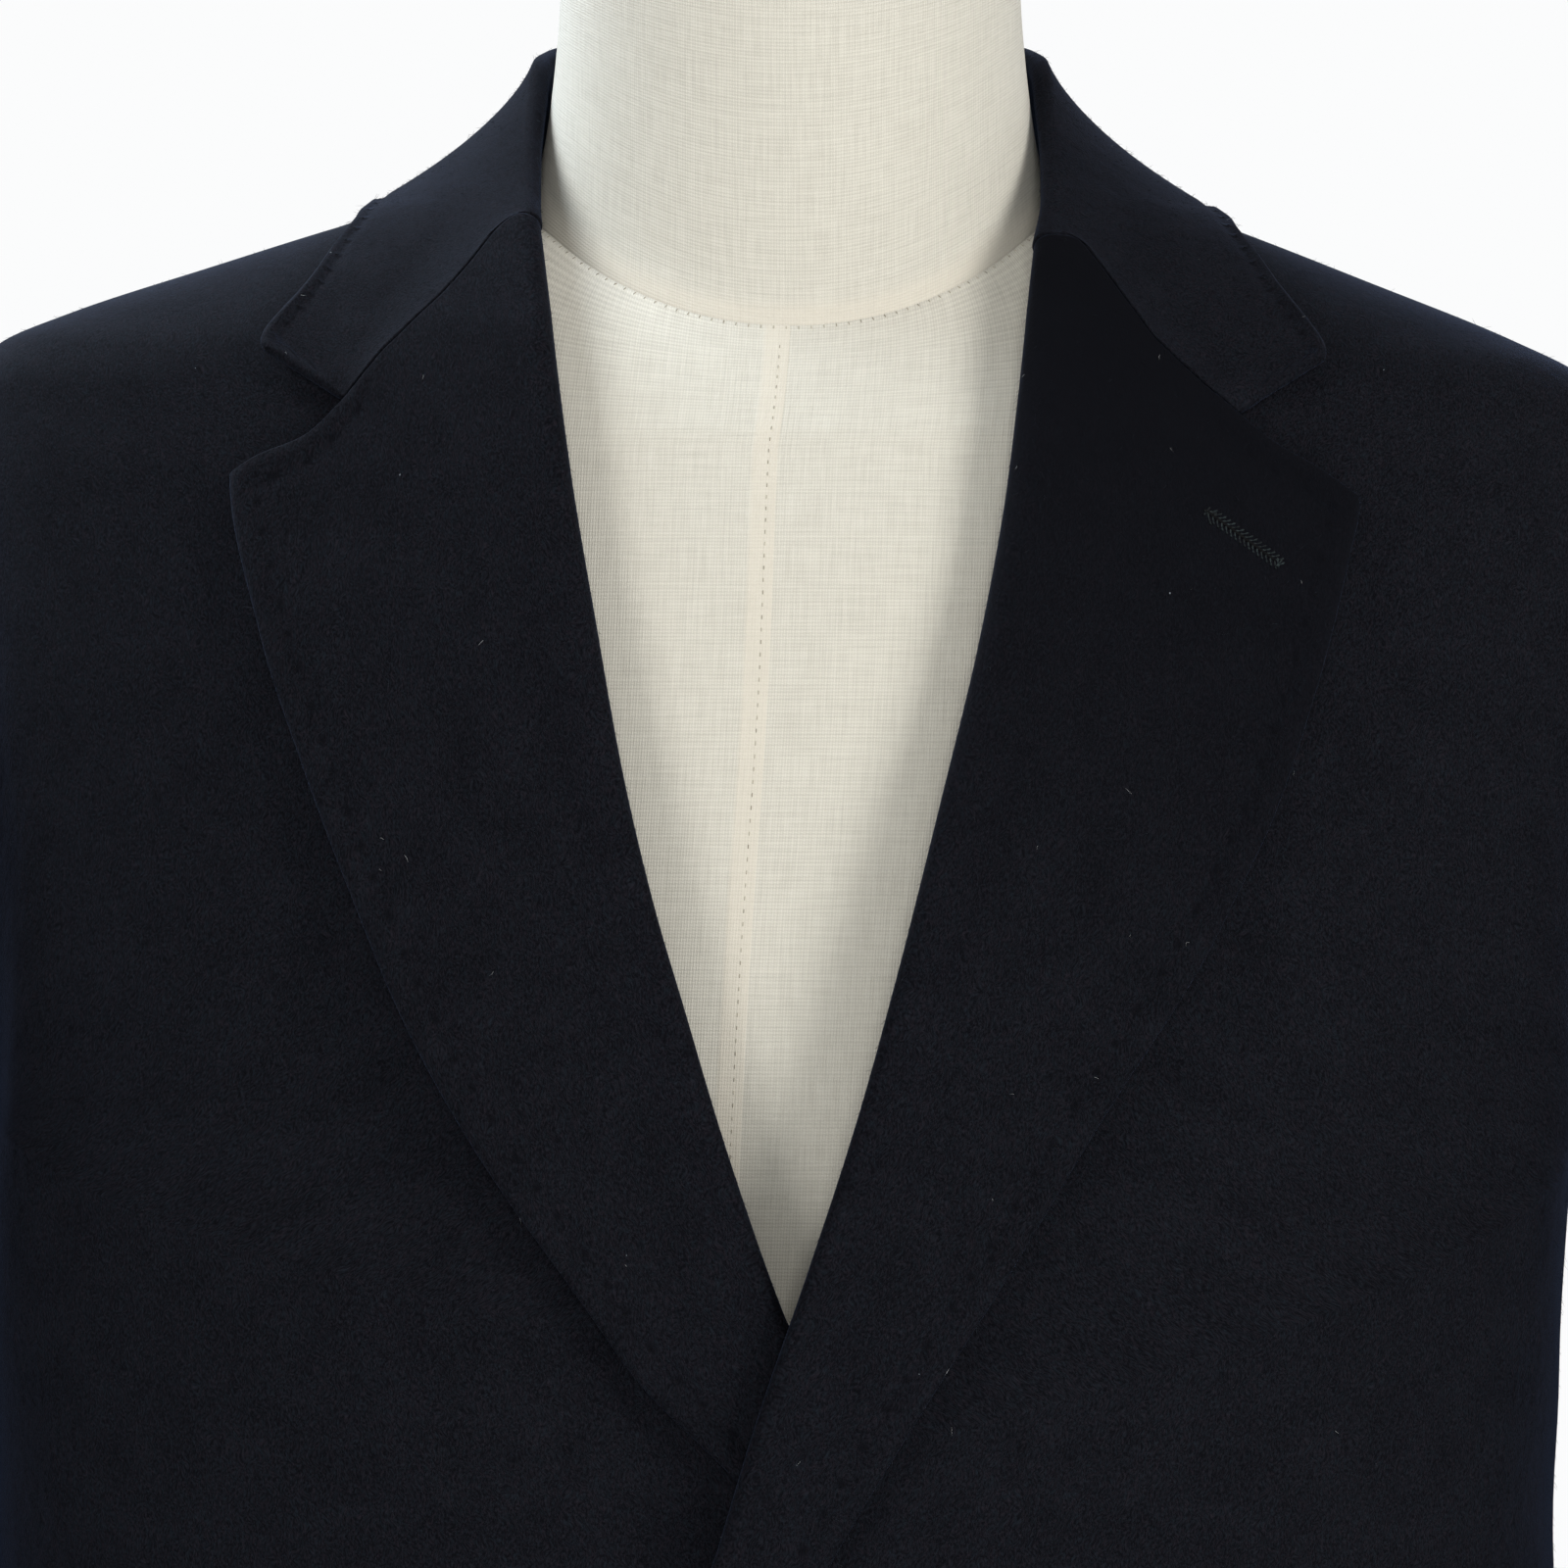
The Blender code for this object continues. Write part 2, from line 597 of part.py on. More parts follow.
def collar_half(side, shares):
    """Rows of the collar from its foot to its edge, one column for each share from back to front."""
    own = np.array([side, 1, 1])
    points, out, over = (array[0] for array in roll_frame(side, np.array([1.0])))
    top_radius = roll_radius(points[2])
    front_apex = (points + over * (LAPEL_WALL / 2 - 2 * SEAM) + out * top_radius) * own
    frame = np.concatenate([COLLAR_FOLD.rows[:, 1:], [front_apex]])
    keys = np.r_[COLLAR_FOLD.rows[:, 0], 1.0]

    def apex(at):
        return np.stack([smooth_curve(keys, frame[:, axis], at) for axis in range(3)], -1)

    low = np.clip(shares - 0.01, 0, 1)
    high = np.clip(shares + 0.01, 0, 1)
    along = unit(apex(high) - apex(low))
    along[0] = (1, 0, 0)
    back = neckline_back(side) * own
    front = neckline_front(side)[::-1] * own
    behind = shares <= SHOULDER_SHARE
    foot = np.where(behind[:, None], walk(back, np.clip(shares / SHOULDER_SHARE, 0, 1)),
                    walk(front, np.clip((shares - SHOULDER_SHARE) / (1 - SHOULDER_SHARE), 0, 1)))
    seam_way = unit(np.gradient(foot, axis=0))
    out_of_coat = coat_normal(foot)
    inward = unit(np.cross(seam_way, out_of_coat))

    near_front = ease((shares - 0.80) / 0.20)[:, None]
    crest = apex(shares)
    upright = unit(crest - foot)
    rise = unit(upright * (1 - near_front) - over * own * near_front)
    rise = unit(rise - along * (rise * along).sum(1)[:, None])
    away = np.cross(rise, along)
    radius = COLLAR_FOLD_RADIUS + (top_radius - COLLAR_FOLD_RADIUS) * near_front
    middle = crest - rise * radius
    first_way = unit(middle - away * radius - foot + 0.003 * rise)
    lean = np.abs((first_way * out_of_coat).sum(1))[:, None]
    foot = foot + inward * (SEAM + COLLAR_WALL / 2 * lean)

    turns = np.radians(np.linspace(0, 180, 25))
    lower = []
    for i in range(len(shares)):
        ring = middle[i] + radius[i] * (np.outer(np.sin(turns), rise[i]) - np.outer(np.cos(turns), away[i]))
        path = np.concatenate([[foot[i]], ring])
        stand = np.linalg.norm(ring[0] - foot[i]) / length(path)
        bend = max(stand, 0.25)
        lower.append(walk(path, np.r_[np.linspace(0, bend, 5), np.linspace(bend, 1, 7)[1:]]))
    lower = np.array(lower)

    corner_x, corner_height = LAPELS[side]["collar_corner"]
    corner = coat_front(side * np.array([corner_x]), np.array([corner_height]))
    corner_angle = side * coat_angle(corner)[0]
    edge_keys = np.r_[COLLAR_EDGE.rows[:, 0], 1.0]
    angle = smooth_curve(edge_keys, np.r_[COLLAR_EDGE.column("angle"), corner_angle], shares)
    height = smooth_curve(edge_keys, np.r_[COLLAR_EDGE.column("height"), corner_height], shares)
    edge = coat_round(np.minimum(angle, 179.99), height)
    edge = edge + COLLAR_LIFT * coat_normal(edge)

    end = collar_front(side, LEAF_SHARES) * own
    share = LEAF_SHARES[None, :, None]
    begin = lower[:, -1]
    leaf = begin[:, None] * (1 - share) + edge[:, None] * share
    pull = (ease((shares - 0.62) / 0.38) ** 1.3)[:, None, None]
    leaf = leaf + pull * (end - leaf[-1])[None]
    sag = np.exp(-((shares - 0.60) / 0.16) ** 2)[:, None, None] * COLLAR_SAG
    hollow = (LEAF_SHARES * (1 - LEAF_SHARES) ** 2 * 27 / 4)[None, :, None]
    leaf = leaf - sag * hollow * unit(away + 1.2 * rise)[:, None]
    leaf = keep_clear(leaf, COLLAR_LIFT, ease(LEAF_SHARES / 0.4)[None] * (leaf[..., 2] < 1.455))
    return np.concatenate([lower, leaf], axis=1) * own


COLLAR_SHARES = np.r_[np.linspace(0, SHOULDER_SHARE, BACK_NECK_ROWS + 1),
                      np.linspace(SHOULDER_SHARE, 1, FRONT_NECK_ROWS + 1)[1:]]
COLLAR_SHARES = np.insert(COLLAR_SHARES, -1, 0.985)


def collar(finish):
    """The whole collar, its two halves meeting at the centre back with no seam."""
    left = collar_half(1, COLLAR_SHARES)
    right = collar_half(-1, COLLAR_SHARES)
    middle = (left[:1] + right[:1]) / 2
    sheet = np.concatenate([right[:0:-1], middle, left[1:]])
    return cloth("collar", trim(sheet, {"start": SEAM, "end": SEAM}), COLLAR_WALL, finish)


# Sleeves: rings that fan out of the armhole about the underarm, then a tube down to the cuff

SLEEVE = Table("ring under_x under_z outer_x outer_z middle_y half_y armhole", [
    (0, 0.2178, 1.1900, 0.2285, 1.3850, 0.0110, 0.0585, 1.00),
    (1, 0.2200, 1.1915, 0.2440, 1.3795, 0.0095, 0.0610, 0.70),
    (2, 0.2222, 1.1912, 0.2612, 1.3600, 0.0080, 0.0642, 0.40),
    (3, 0.2245, 1.1900, 0.2765, 1.3280, 0.0060, 0.0682, 0.15),
    (4, 0.2268, 1.1880, 0.2875, 1.2860, 0.0045, 0.0715, 0.00),
    (5, 0.2288, 1.1850, 0.2945, 1.2380, 0.0030, 0.0735, 0.00),
    (6, 0.2302, 1.1780, 0.2990, 1.1920, 0.0020, 0.0755, 0.00),
    (7, 0.2300, 1.1500, 0.3010, 1.1480, 0.0030, 0.0765, 0.00),
    (8, 0.2255, 1.1000, 0.3030, 1.1000, 0.0050, 0.0765, 0.00),
    (9, 0.2250, 1.0500, 0.3035, 1.0500, 0.0070, 0.0755, 0.00),
    (10, 0.2270, 0.9900, 0.3035, 0.9900, 0.0065, 0.0725, 0.00),
    (11, 0.2305, 0.9150, 0.3050, 0.9150, 0.0020, 0.0675, 0.00),
    (12, 0.2370, 0.8400, 0.3085, 0.8400, -0.0060, 0.0620, 0.00),
    (13, 0.2420, 0.7750, 0.3115, 0.7750, -0.0125, 0.0585, 0.00),
])
SLEEVE_RINGS = np.r_[0, 0.15, 0.7, 1.5, np.arange(2.5, 13), 12.97, 13]
TOP_SEAM = 108
TOP_TURNS = np.r_[-TOP_SEAM, -105, np.arange(-96, 97, 12), 105, TOP_SEAM]
UNDER_TURNS = np.r_[TOP_SEAM, 111, np.arange(120, 241, 12), 249, 360 - TOP_SEAM]


def sleeve_rings(turns, opening):
    """Sheet of the left sleeve: turn 0 is its outer line, 90 its front, 180 the underarm."""
    rings = SLEEVE_RINGS[:, None]
    wave = np.cos(np.radians(turns))[None]
    outward = (1 + wave) / 2
    x = SLEEVE.read("under_x", rings) * (1 - outward) + SLEEVE.read("outer_x", rings) * outward
    z = SLEEVE.read("under_z", rings) * (1 - outward) + SLEEVE.read("outer_z", rings) * outward
    y = SLEEVE.read("middle_y", rings) - SLEEVE.read("half_y", rings) * np.sin(np.radians(turns))[None]
    sheet = np.stack([x, y, z], -1)
    return sheet + SLEEVE.read("armhole", rings)[..., None] * (opening - sheet[0])[None]


def sleeve_piece(side, part, turns, finish):
    """Top or under sleeve, its head drawn into the armhole so that it clears the panels' edges."""
    opening = coat_round(*armhole(turns))
    sheet = sleeve_rings(turns, opening)
    centre = coat_round(np.array([93.0]), np.array([(UNDERARM + SHOULDER_POINT) / 2]))
    inward = centre - opening
    facing = coat_normal(opening)
    inward = unit(inward - facing * (inward * facing).sum(1)[:, None])
    first_way = unit(sheet[3] - sheet[0])
    lean = np.abs((first_way * facing).sum(1))[:, None]
    draw = inward * (1.1 * SEAM + PANEL_WALL / 2 * lean)
    fade = np.clip(1 - SLEEVE_RINGS / 2, 0, 1)[:, None, None]
    sheet = (sheet + fade * draw[None]) * np.array([side, 1, 1])
    sheet = trim(sheet, {"left": 0.6 * SEAM, "right": 0.6 * SEAM})
    return cloth(f"{side_name(side)}_{part}_sleeve", sheet, PANEL_WALL, finish)


# Buttons on the left front, below the break

BUTTON_HEIGHTS = (1.000, 0.885, 0.770)
BUTTON_PROFILE = Table("row radius rise", [
    (0, 0.0000, 0.0012),
    (1, 0.0085, 0.0012),
    (2, 0.0105, 0.0020),
    (3, 0.0128, 0.0022),
    (4, 0.0140, 0.0012),
    (5, 0.0138, -0.0004),
    (6, 0.0110, -0.0016),
    (7, 0.0000, -0.0016),
])
BUTTON_SEAT = 0.0030


def button(number, height, finish):
    """Turned button with a raised rim, lying on the left front and facing out of it."""
    mesh = bpy.data.meshes.new(f"button_{number}")
    profile = bmesh.new()
    radii = BUTTON_PROFILE.column("radius")
    rises = BUTTON_PROFILE.column("rise")
    points = [profile.verts.new((radius, 0, rise)) for radius, rise in zip(radii, rises)]
    for above, below in zip(points, points[1:]):
        profile.edges.new((above, below))
    profile.to_mesh(mesh)
    profile.free()
    solid = place(f"button_{number}", mesh, finish)
    turned = solid.modifiers.new("Turned", "SCREW")
    turned.steps = 16
    turned.render_steps = 16
    turned.use_merge_vertices = True
    turned.merge_threshold = 0.00005
    seat = settle(1, coat_round(np.array([0.0]), np.array([height])), BUTTON_SEAT)[0]
    facing = coat_normal(seat[None])[0]
    solid.location = seat
    solid.rotation_euler = (math.atan2(-facing[1], facing[2]), 0, 0)
    return solid


# Dress form: torso, neck, pole and base

FORM = Table("height half_width front back", [
    (0.790, 0.150, 0.088, 0.100),
    (0.800, 0.162, 0.098, 0.112),
    (0.850, 0.172, 0.105, 0.120),
    (0.950, 0.160, 0.103, 0.108),
    (1.020, 0.150, 0.100, 0.098),
    (1.120, 0.162, 0.110, 0.103),
    (1.200, 0.176, 0.118, 0.110),
    (1.280, 0.184, 0.114, 0.115),
    (1.330, 0.187, 0.104, 0.112),
    (1.365, 0.187, 0.090, 0.102),
])
FORM_RINGS = (0.790, 0.7925, 0.800, 0.850, 0.900, 0.950, 1.020, 1.080, 1.140, 1.200, 1.250, 1.290,
              1.330, 1.365)
FORM_SHOULDER = Table("step across up front_across front_up", [
    (0.00, 0.000, 0.000, 0.00, 0.00),
    (0.14, 0.010, 0.160, 0.10, 0.14),
    (0.28, 0.045, 0.400, 0.24, 0.28),
    (0.42, 0.150, 0.590, 0.40, 0.44),
    (0.56, 0.320, 0.735, 0.57, 0.60),
    (0.72, 0.580, 0.880, 0.73, 0.75),
    (0.86, 0.800, 0.950, 0.86, 0.87),
    (1.00, 1.000, 1.000, 1.00, 1.00),
])
FORM_ROUND = 32
FORM_REST = 0.0043
NECK_FRONT_DEPTH = 0.068
NECK_BACK_DEPTH = 0.057
NECK_PIT = 1.399
NECK_NAPE = 1.455
NAPE_DROP = 0.010
NECK = Table("share half_width", [
    (0.00, 0.0672),
    (0.10, 0.0655),
    (0.25, 0.0644),
    (0.45, 0.0630),
    (0.75, 0.0620),
    (0.90, 0.0600),
    (0.97, 0.0520),
    (1.00, 0.0380),
])
NECK_TOP = 1.585
POLE_RADIUS = 0.016
BASE_RADIUS = 0.200
BASE_HEIGHT = 0.018


def form_ring(height, turns):
    """Horizontal section of the torso."""
    depth = np.where(np.cos(turns) < 0, FORM.read("back", height), FORM.read("front", height))
    x = FORM.read("half_width", height) * np.sign(np.sin(turns)) * np.abs(np.sin(turns)) ** (2 / SQUARENESS)
    y = -depth * np.sign(np.cos(turns)) * np.abs(np.cos(turns)) ** (2 / SQUARENESS)
    return np.stack([x, y, height + 0 * x], -1)


def neck_seam(turns, half_width, rise=0.0):
    """The oval where the neck meets the torso, on the plane from the pit of the neck up to the nape."""
    middle = (NECK_BACK_DEPTH - NECK_FRONT_DEPTH) / 2
    half_depth = (NECK_BACK_DEPTH + NECK_FRONT_DEPTH) / 2 * half_width / NECK.rows[0, 1]
    y = middle - half_depth * np.cos(turns)
    slope = (NECK_NAPE - NECK_PIT) / (NECK_BACK_DEPTH + NECK_FRONT_DEPTH)
    height = NECK_PIT + slope * (y + NECK_FRONT_DEPTH)
    height = height - NAPE_DROP * (np.maximum(y, 0) / NECK_BACK_DEPTH) ** 1.5
    return np.stack([half_width * np.sin(turns), y, height + rise], -1)


def carry(points):
    """Bring the shoulders up until the coat rests on them, fading out to the neck and the arms."""
    x, y, height = np.moveaxis(points, -1, 0)
    level, slope = coat_level(points)
    steep = np.linalg.norm(slope, axis=-1)
    share = ease((np.abs(x) - 0.084) / 0.022) * ease((0.180 - np.abs(x)) / 0.030)
    share = share * ease((y + 0.030) / 0.030) * ease((0.080 - y) / 0.030)
    share = share * ease((height - 1.385) / 0.020)
    lift = ((1 - level) / steep - FORM_REST) * share
    return points + (lift / steep)[..., None] * slope


def dress_form(finish):
    """Torso with sloping shoulders up to the neck seam, and the neck above it."""
    turns = np.linspace(0, 2 * np.pi, FORM_ROUND, endpoint=False)
    rings = [form_ring(height, turns) for height in FORM_RINGS]
    collar_ring = neck_seam(turns, NECK.rows[0, 1])
    sideways = (np.abs(np.sin(turns)) ** 1.5)[:, None]
    for step in FORM_SHOULDER.rows[1:, 0]:
        across = FORM_SHOULDER.read("across", step) * sideways
        across = across + FORM_SHOULDER.read("front_across", step) * (1 - sideways)
        up = FORM_SHOULDER.read("up", step) * sideways
        up = up + FORM_SHOULDER.read("front_up", step) * (1 - sideways)
        share = np.concatenate([across, across, up], axis=1)
        rings.append(rings[len(FORM_RINGS) - 1] * (1 - share) + collar_ring * share)
    loft("form_torso", carry(np.array(rings)), finish)

    neck = []
    for share, half_width in NECK.rows:
        ring = neck_seam(turns, half_width, SEAM)
        ring[:, 2] = ring[:, 2] * (1 - share) + NECK_TOP * share
        neck.append(ring)
    loft("form_neck", neck, finish)


def post(name, radius, bottom, top, bevel, finish):
    """Upright cylinder with its edges eased."""
    bpy.ops.mesh.primitive_cylinder_add(vertices=32, radius=radius, depth=top - bottom,
                                        location=(0, 0, (top + bottom) / 2))
    made = bpy.context.object
    mesh = made.data
    for holder in made.users_collection:
        holder.objects.unlink(made)
    bpy.data.objects.remove(made)
    mesh.name = name
    solid = place(name, mesh, finish)
    solid.location = (0, 0, (top + bottom) / 2)
    if bevel:
        eased = solid.modifiers.new("Eased", "BEVEL")
        eased.width = bevel
        eased.segments = 2
        eased.limit_method = "ANGLE"
    return solid


wool = material("navy_wool", (0.014, 0.017, 0.028), 0.9)
linen = material("cream_linen", (0.74, 0.71, 0.62), 0.85)
steel = material("stand_metal", (0.55, 0.55, 0.56), 0.35, 1.0)
horn = material("button_horn", (0.02, 0.02, 0.025), 0.35)

for side in (1, -1):
    front_panel(side, wool)
    back_panel(side, wool)
    lapel(side, wool)
    sleeve_piece(side, "top", TOP_TURNS, wool)
    sleeve_piece(side, "under", UNDER_TURNS, wool)
collar(wool)
for number, height in enumerate(BUTTON_HEIGHTS, 1):
    button(number, height, horn)
dress_form(linen)
post("stand_pole", POLE_RADIUS, BASE_HEIGHT + SEAM, FORM_RINGS[0] - SEAM, 0, steel)
post("stand_base", BASE_RADIUS, 0, BASE_HEIGHT, 0.004, steel)
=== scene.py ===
"""The looks of a navy wool overcoat that rests on a linen dress form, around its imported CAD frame.

Metres, +Z up. The coat faces -Y and its wearer's left is +X. The sections follow the object as it is
put together: stand, form, back, fronts, lapels, collar, sleeves, buttons, handwork, nap, cuts, studio.
"""

import math

import bpy
import numpy as np
from mathutils import Matrix
from mathutils.bvhtree import BVHTree


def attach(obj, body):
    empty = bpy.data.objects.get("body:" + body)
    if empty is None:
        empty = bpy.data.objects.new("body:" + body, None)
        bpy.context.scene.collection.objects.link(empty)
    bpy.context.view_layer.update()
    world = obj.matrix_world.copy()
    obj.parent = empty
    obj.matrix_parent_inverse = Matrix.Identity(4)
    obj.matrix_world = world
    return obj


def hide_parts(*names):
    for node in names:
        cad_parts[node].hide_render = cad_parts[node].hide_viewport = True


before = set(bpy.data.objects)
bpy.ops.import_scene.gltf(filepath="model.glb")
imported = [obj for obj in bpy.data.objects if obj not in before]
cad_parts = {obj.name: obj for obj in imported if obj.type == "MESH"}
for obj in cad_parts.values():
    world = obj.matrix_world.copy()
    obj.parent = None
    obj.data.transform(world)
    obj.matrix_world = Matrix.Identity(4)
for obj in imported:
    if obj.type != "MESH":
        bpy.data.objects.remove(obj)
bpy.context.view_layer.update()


# Stand: a steel pole screwed into a round steel base with an eased edge. Both are the CAD's own
# solids, which only get their finish here: the pole is drawn, so its scratches run up it, and the
# base is turned, so its scratches run round it.

STEEL_COLOUR = (0.52, 0.52, 0.53)
STEEL_SHADE = 0.78
POLE_SCRATCH = (900.0, 900.0, 12.0)
BASE_SCRATCH = 1400.0


def node(tree, kind, inputs=None, output=0, **settings):
    """Output of a new shader node: settings are its own, inputs its values or what feeds them."""
    made = tree.nodes.new("ShaderNode" + kind)
    for name, value in settings.items():
        setattr(made, name, value)
    for name, value in (inputs or {}).items():
        if isinstance(value, bpy.types.NodeSocket):
            tree.links.new(value, made.inputs[name])
        else:
            made.inputs[name].default_value = value
    return made.outputs[output]


def maths(tree, operation, *values):
    """Result of a Math node."""
    return node(tree, "Math", dict(enumerate(values)), operation=operation)


def remap(tree, *values, **settings):
    """A value, its range's two ends, and the two that they become, 0 and 1 if none are given."""
    return node(tree, "MapRange", dict(enumerate(values)), **settings)


def blend(tree, share, low, high):
    """Colour between two, by a share."""
    low, high = ((*colour, 1) if isinstance(colour, tuple) else colour for colour in (low, high))
    return node(tree, "Mix", {0: share, 6: low, 7: high}, 2, data_type="RGBA")


def mapping(tree, place, scale, turn=(0, 0, 0)):
    """Place scaled along its axes and turned."""
    return node(tree, "Mapping", {"Vector": place, "Scale": scale, "Rotation": turn})


def noise(tree, place, scale=1.0, detail=2.0, output=0, **more):
    """Soft noise over a place."""
    return node(tree, "TexNoise", {"Vector": place, "Scale": scale, "Detail": detail, **more}, output)


def new_material(name, **constants):
    """Material and its tree, with the shader's own sockets set to constants."""
    material = bpy.data.materials.new(name)
    material.use_nodes = True
    shader = material.node_tree.nodes["Principled BSDF"]
    for label, value in constants.items():
        shader.inputs[label.replace("_", " ")].default_value = value
    return material, material.node_tree


def finish(material, colour, roughness=None, relief=None):
    """The material with its shader fed: relief is a height, the bump's strength and its distance."""
    tree = material.node_tree
    normal = relief and node(tree, "Bump", dict(zip(("Height", "Strength", "Distance"), relief)))
    for label, value in (("Base Color", colour), ("Roughness", roughness), ("Normal", normal)):
        if value is not None:
            tree.links.new(value, tree.nodes["Principled BSDF"].inputs[label])
    return material


def steel(name, scratch_across):
    """Satin steel with fine scratches, which run where scratch_across(tree, place) changes slowly."""
    material, tree = new_material(name, Metallic=1.0, Roughness=0.3)
    place = node(tree, "TexCoord", output="Object")
    scratch = noise(tree, scratch_across(tree, place), detail=3.0)
    shade = tuple(STEEL_SHADE * channel for channel in STEEL_COLOUR)
    colour = blend(tree, noise(tree, place, 14.0, 3.0), STEEL_COLOUR, shade)
    return finish(material, colour, remap(tree, scratch, 0.3, 0.7, 0.22, 0.42), (scratch, 0.25, 0.0002))


def drawn(tree, place):
    """Place squeezed across the pole, so that noise on it makes long scratches."""
    return mapping(tree, place, POLE_SCRATCH)


def turned(tree, place):
    """Distance from the base's middle, so that noise on it makes rings."""
    flat = node(tree, "VectorMath", {0: place, 1: (1.0, 1.0, 0.0)}, operation="MULTIPLY")
    radius = node(tree, "VectorMath", {0: flat}, "Value", operation="LENGTH")
    return node(tree, "CombineXYZ", {"X": maths(tree, "MULTIPLY", radius, BASE_SCRATCH)})


for name, way in (("stand_pole", drawn), ("stand_base", turned)):
    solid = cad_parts[name]
    solid.data.materials.clear()
    solid.data.materials.append(steel(name + "_steel", way))


# Form: a padded torso and neck, each covered in cream linen of plain weave. The covers meet in a seam
# round the base of the neck, and the torso's two front pieces in one seam down the middle, each with
# its allowance pressed to one side, which shows through as a warmer band, and a row of small stitches.

SQUARENESS = 2.25
FORM_SEAM_GAP = 0.00002


class Table(dict):
    """Columns of numbers under their names, read along the first one by a smooth curve."""

    def __init__(self, text):
        names, *rows = [line.split() for line in text.strip().splitlines()]
        super().__init__(zip(names, np.array(rows, dtype=float).T))
        self.along = self[names[0]]

    def read(self, name, at):
        return smooth_curve(self.along, self[name], at)


def smooth_curve(keys, values, at):
    """Cubic through (keys, values) that never overshoots: the slope at each key is the harmonic mean
    of the two beside it."""
    step = np.diff(keys)
    slope = np.diff(values) / step
    tangent = np.r_[slope[0], 0 * slope[1:], slope[-1]]
    same_way = slope[:-1] * slope[1:] > 0
    total = np.where(same_way, slope[:-1] + slope[1:], 1)
    tangent[1:-1] = np.where(same_way, 2 * slope[:-1] * slope[1:] / total, 0)
    at = np.clip(at, keys[0], keys[-1])
    i = np.clip(np.searchsorted(keys, at) - 1, 0, len(keys) - 2)
    t = (at - keys[i]) / step[i]
    start = (2 * t ** 3 - 3 * t ** 2 + 1) * values[i] + (t ** 3 - 2 * t ** 2 + t) * step[i] * tangent[i]
    end = (3 * t ** 2 - 2 * t ** 3) * values[i + 1] + (t ** 3 - t ** 2) * step[i] * tangent[i + 1]
    return start + end


def ease(value):
    """Smooth step from 0 to 1."""
    value = np.clip(value, 0, 1)
    return value * value * (3 - 2 * value)


def bell(distance, width):
    """1 at distance 0, fading to nothing over about twice the width."""
    return np.exp(-(distance / width) ** 2)


def mix(low, high, share):
    """Value between two, by a share."""
    return low * (1 - share) + high * share


def join(*parts):
    """Points from their coordinates, each as many as the most."""
    return np.stack(np.broadcast_arrays(*parts), -1)


def unit(vectors):
    return vectors / np.maximum(np.linalg.norm(vectors, axis=-1, keepdims=True), 1e-12)


def around(grid, flip=False):
    """Values of a grid at the four corners of each of its cells."""
    corners = (grid[:-1, :-1], grid[:-1, 1:], grid[1:, 1:], grid[1:, :-1])
    cells = np.stack(corners, 2).reshape(-1, 4, *grid.shape[2:])
    return cells[:, ::-1] if flip else cells


def ring_index(*shape):
    """Numbers of the points of closed rings, each ring's first one again at its end."""
    index = np.arange(math.prod(shape)).reshape(shape)
    return np.concatenate([index, index[..., :1]], axis=-1)


def skin(name, vertices, quads, quad_uv, material, slot, caps=(), marks=None):
    """Object with a smooth mesh of four-sided faces and caps, its UV map in metres of cloth, and one
    value at each vertex for every name in marks."""
    mesh = bpy.data.meshes.new(name)
    mesh.from_pydata(vertices.tolist(), [], quads.tolist() + [list(cap) for cap in caps])
    uv = np.zeros((len(mesh.loops), 2), np.float32)
    uv[:quads.size] = quad_uv.reshape(-1, 2)
    mesh.uv_layers.new(name="cloth").data.foreach_set("uv", uv.ravel())
    for label, values in (marks or {}).items():
        mesh.attributes.new(label, "FLOAT", "POINT").data.foreach_set("value", values.astype(np.float32))
    mesh.shade_smooth()
    mesh.materials.append(material)
    made = bpy.data.objects.new(name, mesh)
    bpy.context.scene.collection.objects.link(made)
    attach(made, "root")
    return made


def along_line(at, distance, line):
    """Points of a line at the given values of the distance along or across it."""
    return np.stack([np.interp(at, distance, axis) for axis in line.T], -1)


def walk(line, fractions):
    """Points at the given fractions of a line's length."""
    along = np.r_[0, np.cumsum(np.linalg.norm(np.diff(line, axis=0), axis=1))]
    return along_line(np.asarray(fractions) * along[-1], along, line)


def reaches(sheet, axis):
    """Distance along the sheet from its first row or column to each point."""
    steps = np.linalg.norm(np.diff(sheet, axis=axis), axis=-1)
    first = np.zeros_like(np.take(steps, [0], axis=axis))
    return np.concatenate([first, np.cumsum(steps, axis=axis)], axis=axis)


def sheet_normals(sheet):
    """Unit vector across rows and columns at each point of a sheet."""
    return unit(np.cross(np.gradient(sheet, axis=0), np.gradient(sheet, axis=1)))


# The coat's body: one rounded section for each height. The form's shoulders carry it.
COAT = Table("""
    height centre half_width front back
    0.440   0.000 0.2380 0.1580 0.1720
    0.600   0.000 0.2300 0.1540 0.1660
    0.800  -0.002 0.2205 0.1490 0.1550
    0.950  -0.004 0.2135 0.1430 0.1420
    1.030  -0.004 0.2130 0.1400 0.1330
    1.080  -0.004 0.2135 0.1392 0.1330
    1.120  -0.004 0.2150 0.1390 0.1340
    1.165  -0.003 0.2165 0.1382 0.1370
    1.190   0.000 0.2178 0.1365 0.1392
    1.250   0.000 0.2245 0.1300 0.1425
    1.300   0.000 0.2305 0.1200 0.1400
    1.350   0.000 0.2325 0.1030 0.1270
    1.380   0.000 0.2285 0.0890 0.1130
    1.392   0.000 0.2185 0.0820 0.1060
    1.401   0.000 0.2000 0.0750 0.0990
    1.416   0.000 0.1600 0.0630 0.0880
    1.431   0.000 0.1180 0.0500 0.0770
    1.4365  0.000 0.1000 0.0445 0.0725
    1.4425  0.000 0.0780 0.0380 0.0680
    1.449   0.000 0.0540 0.0310 0.0635
    1.456   0.000 0.0300 0.0220 0.0580
""")
SLOPE_STEP = 0.0005


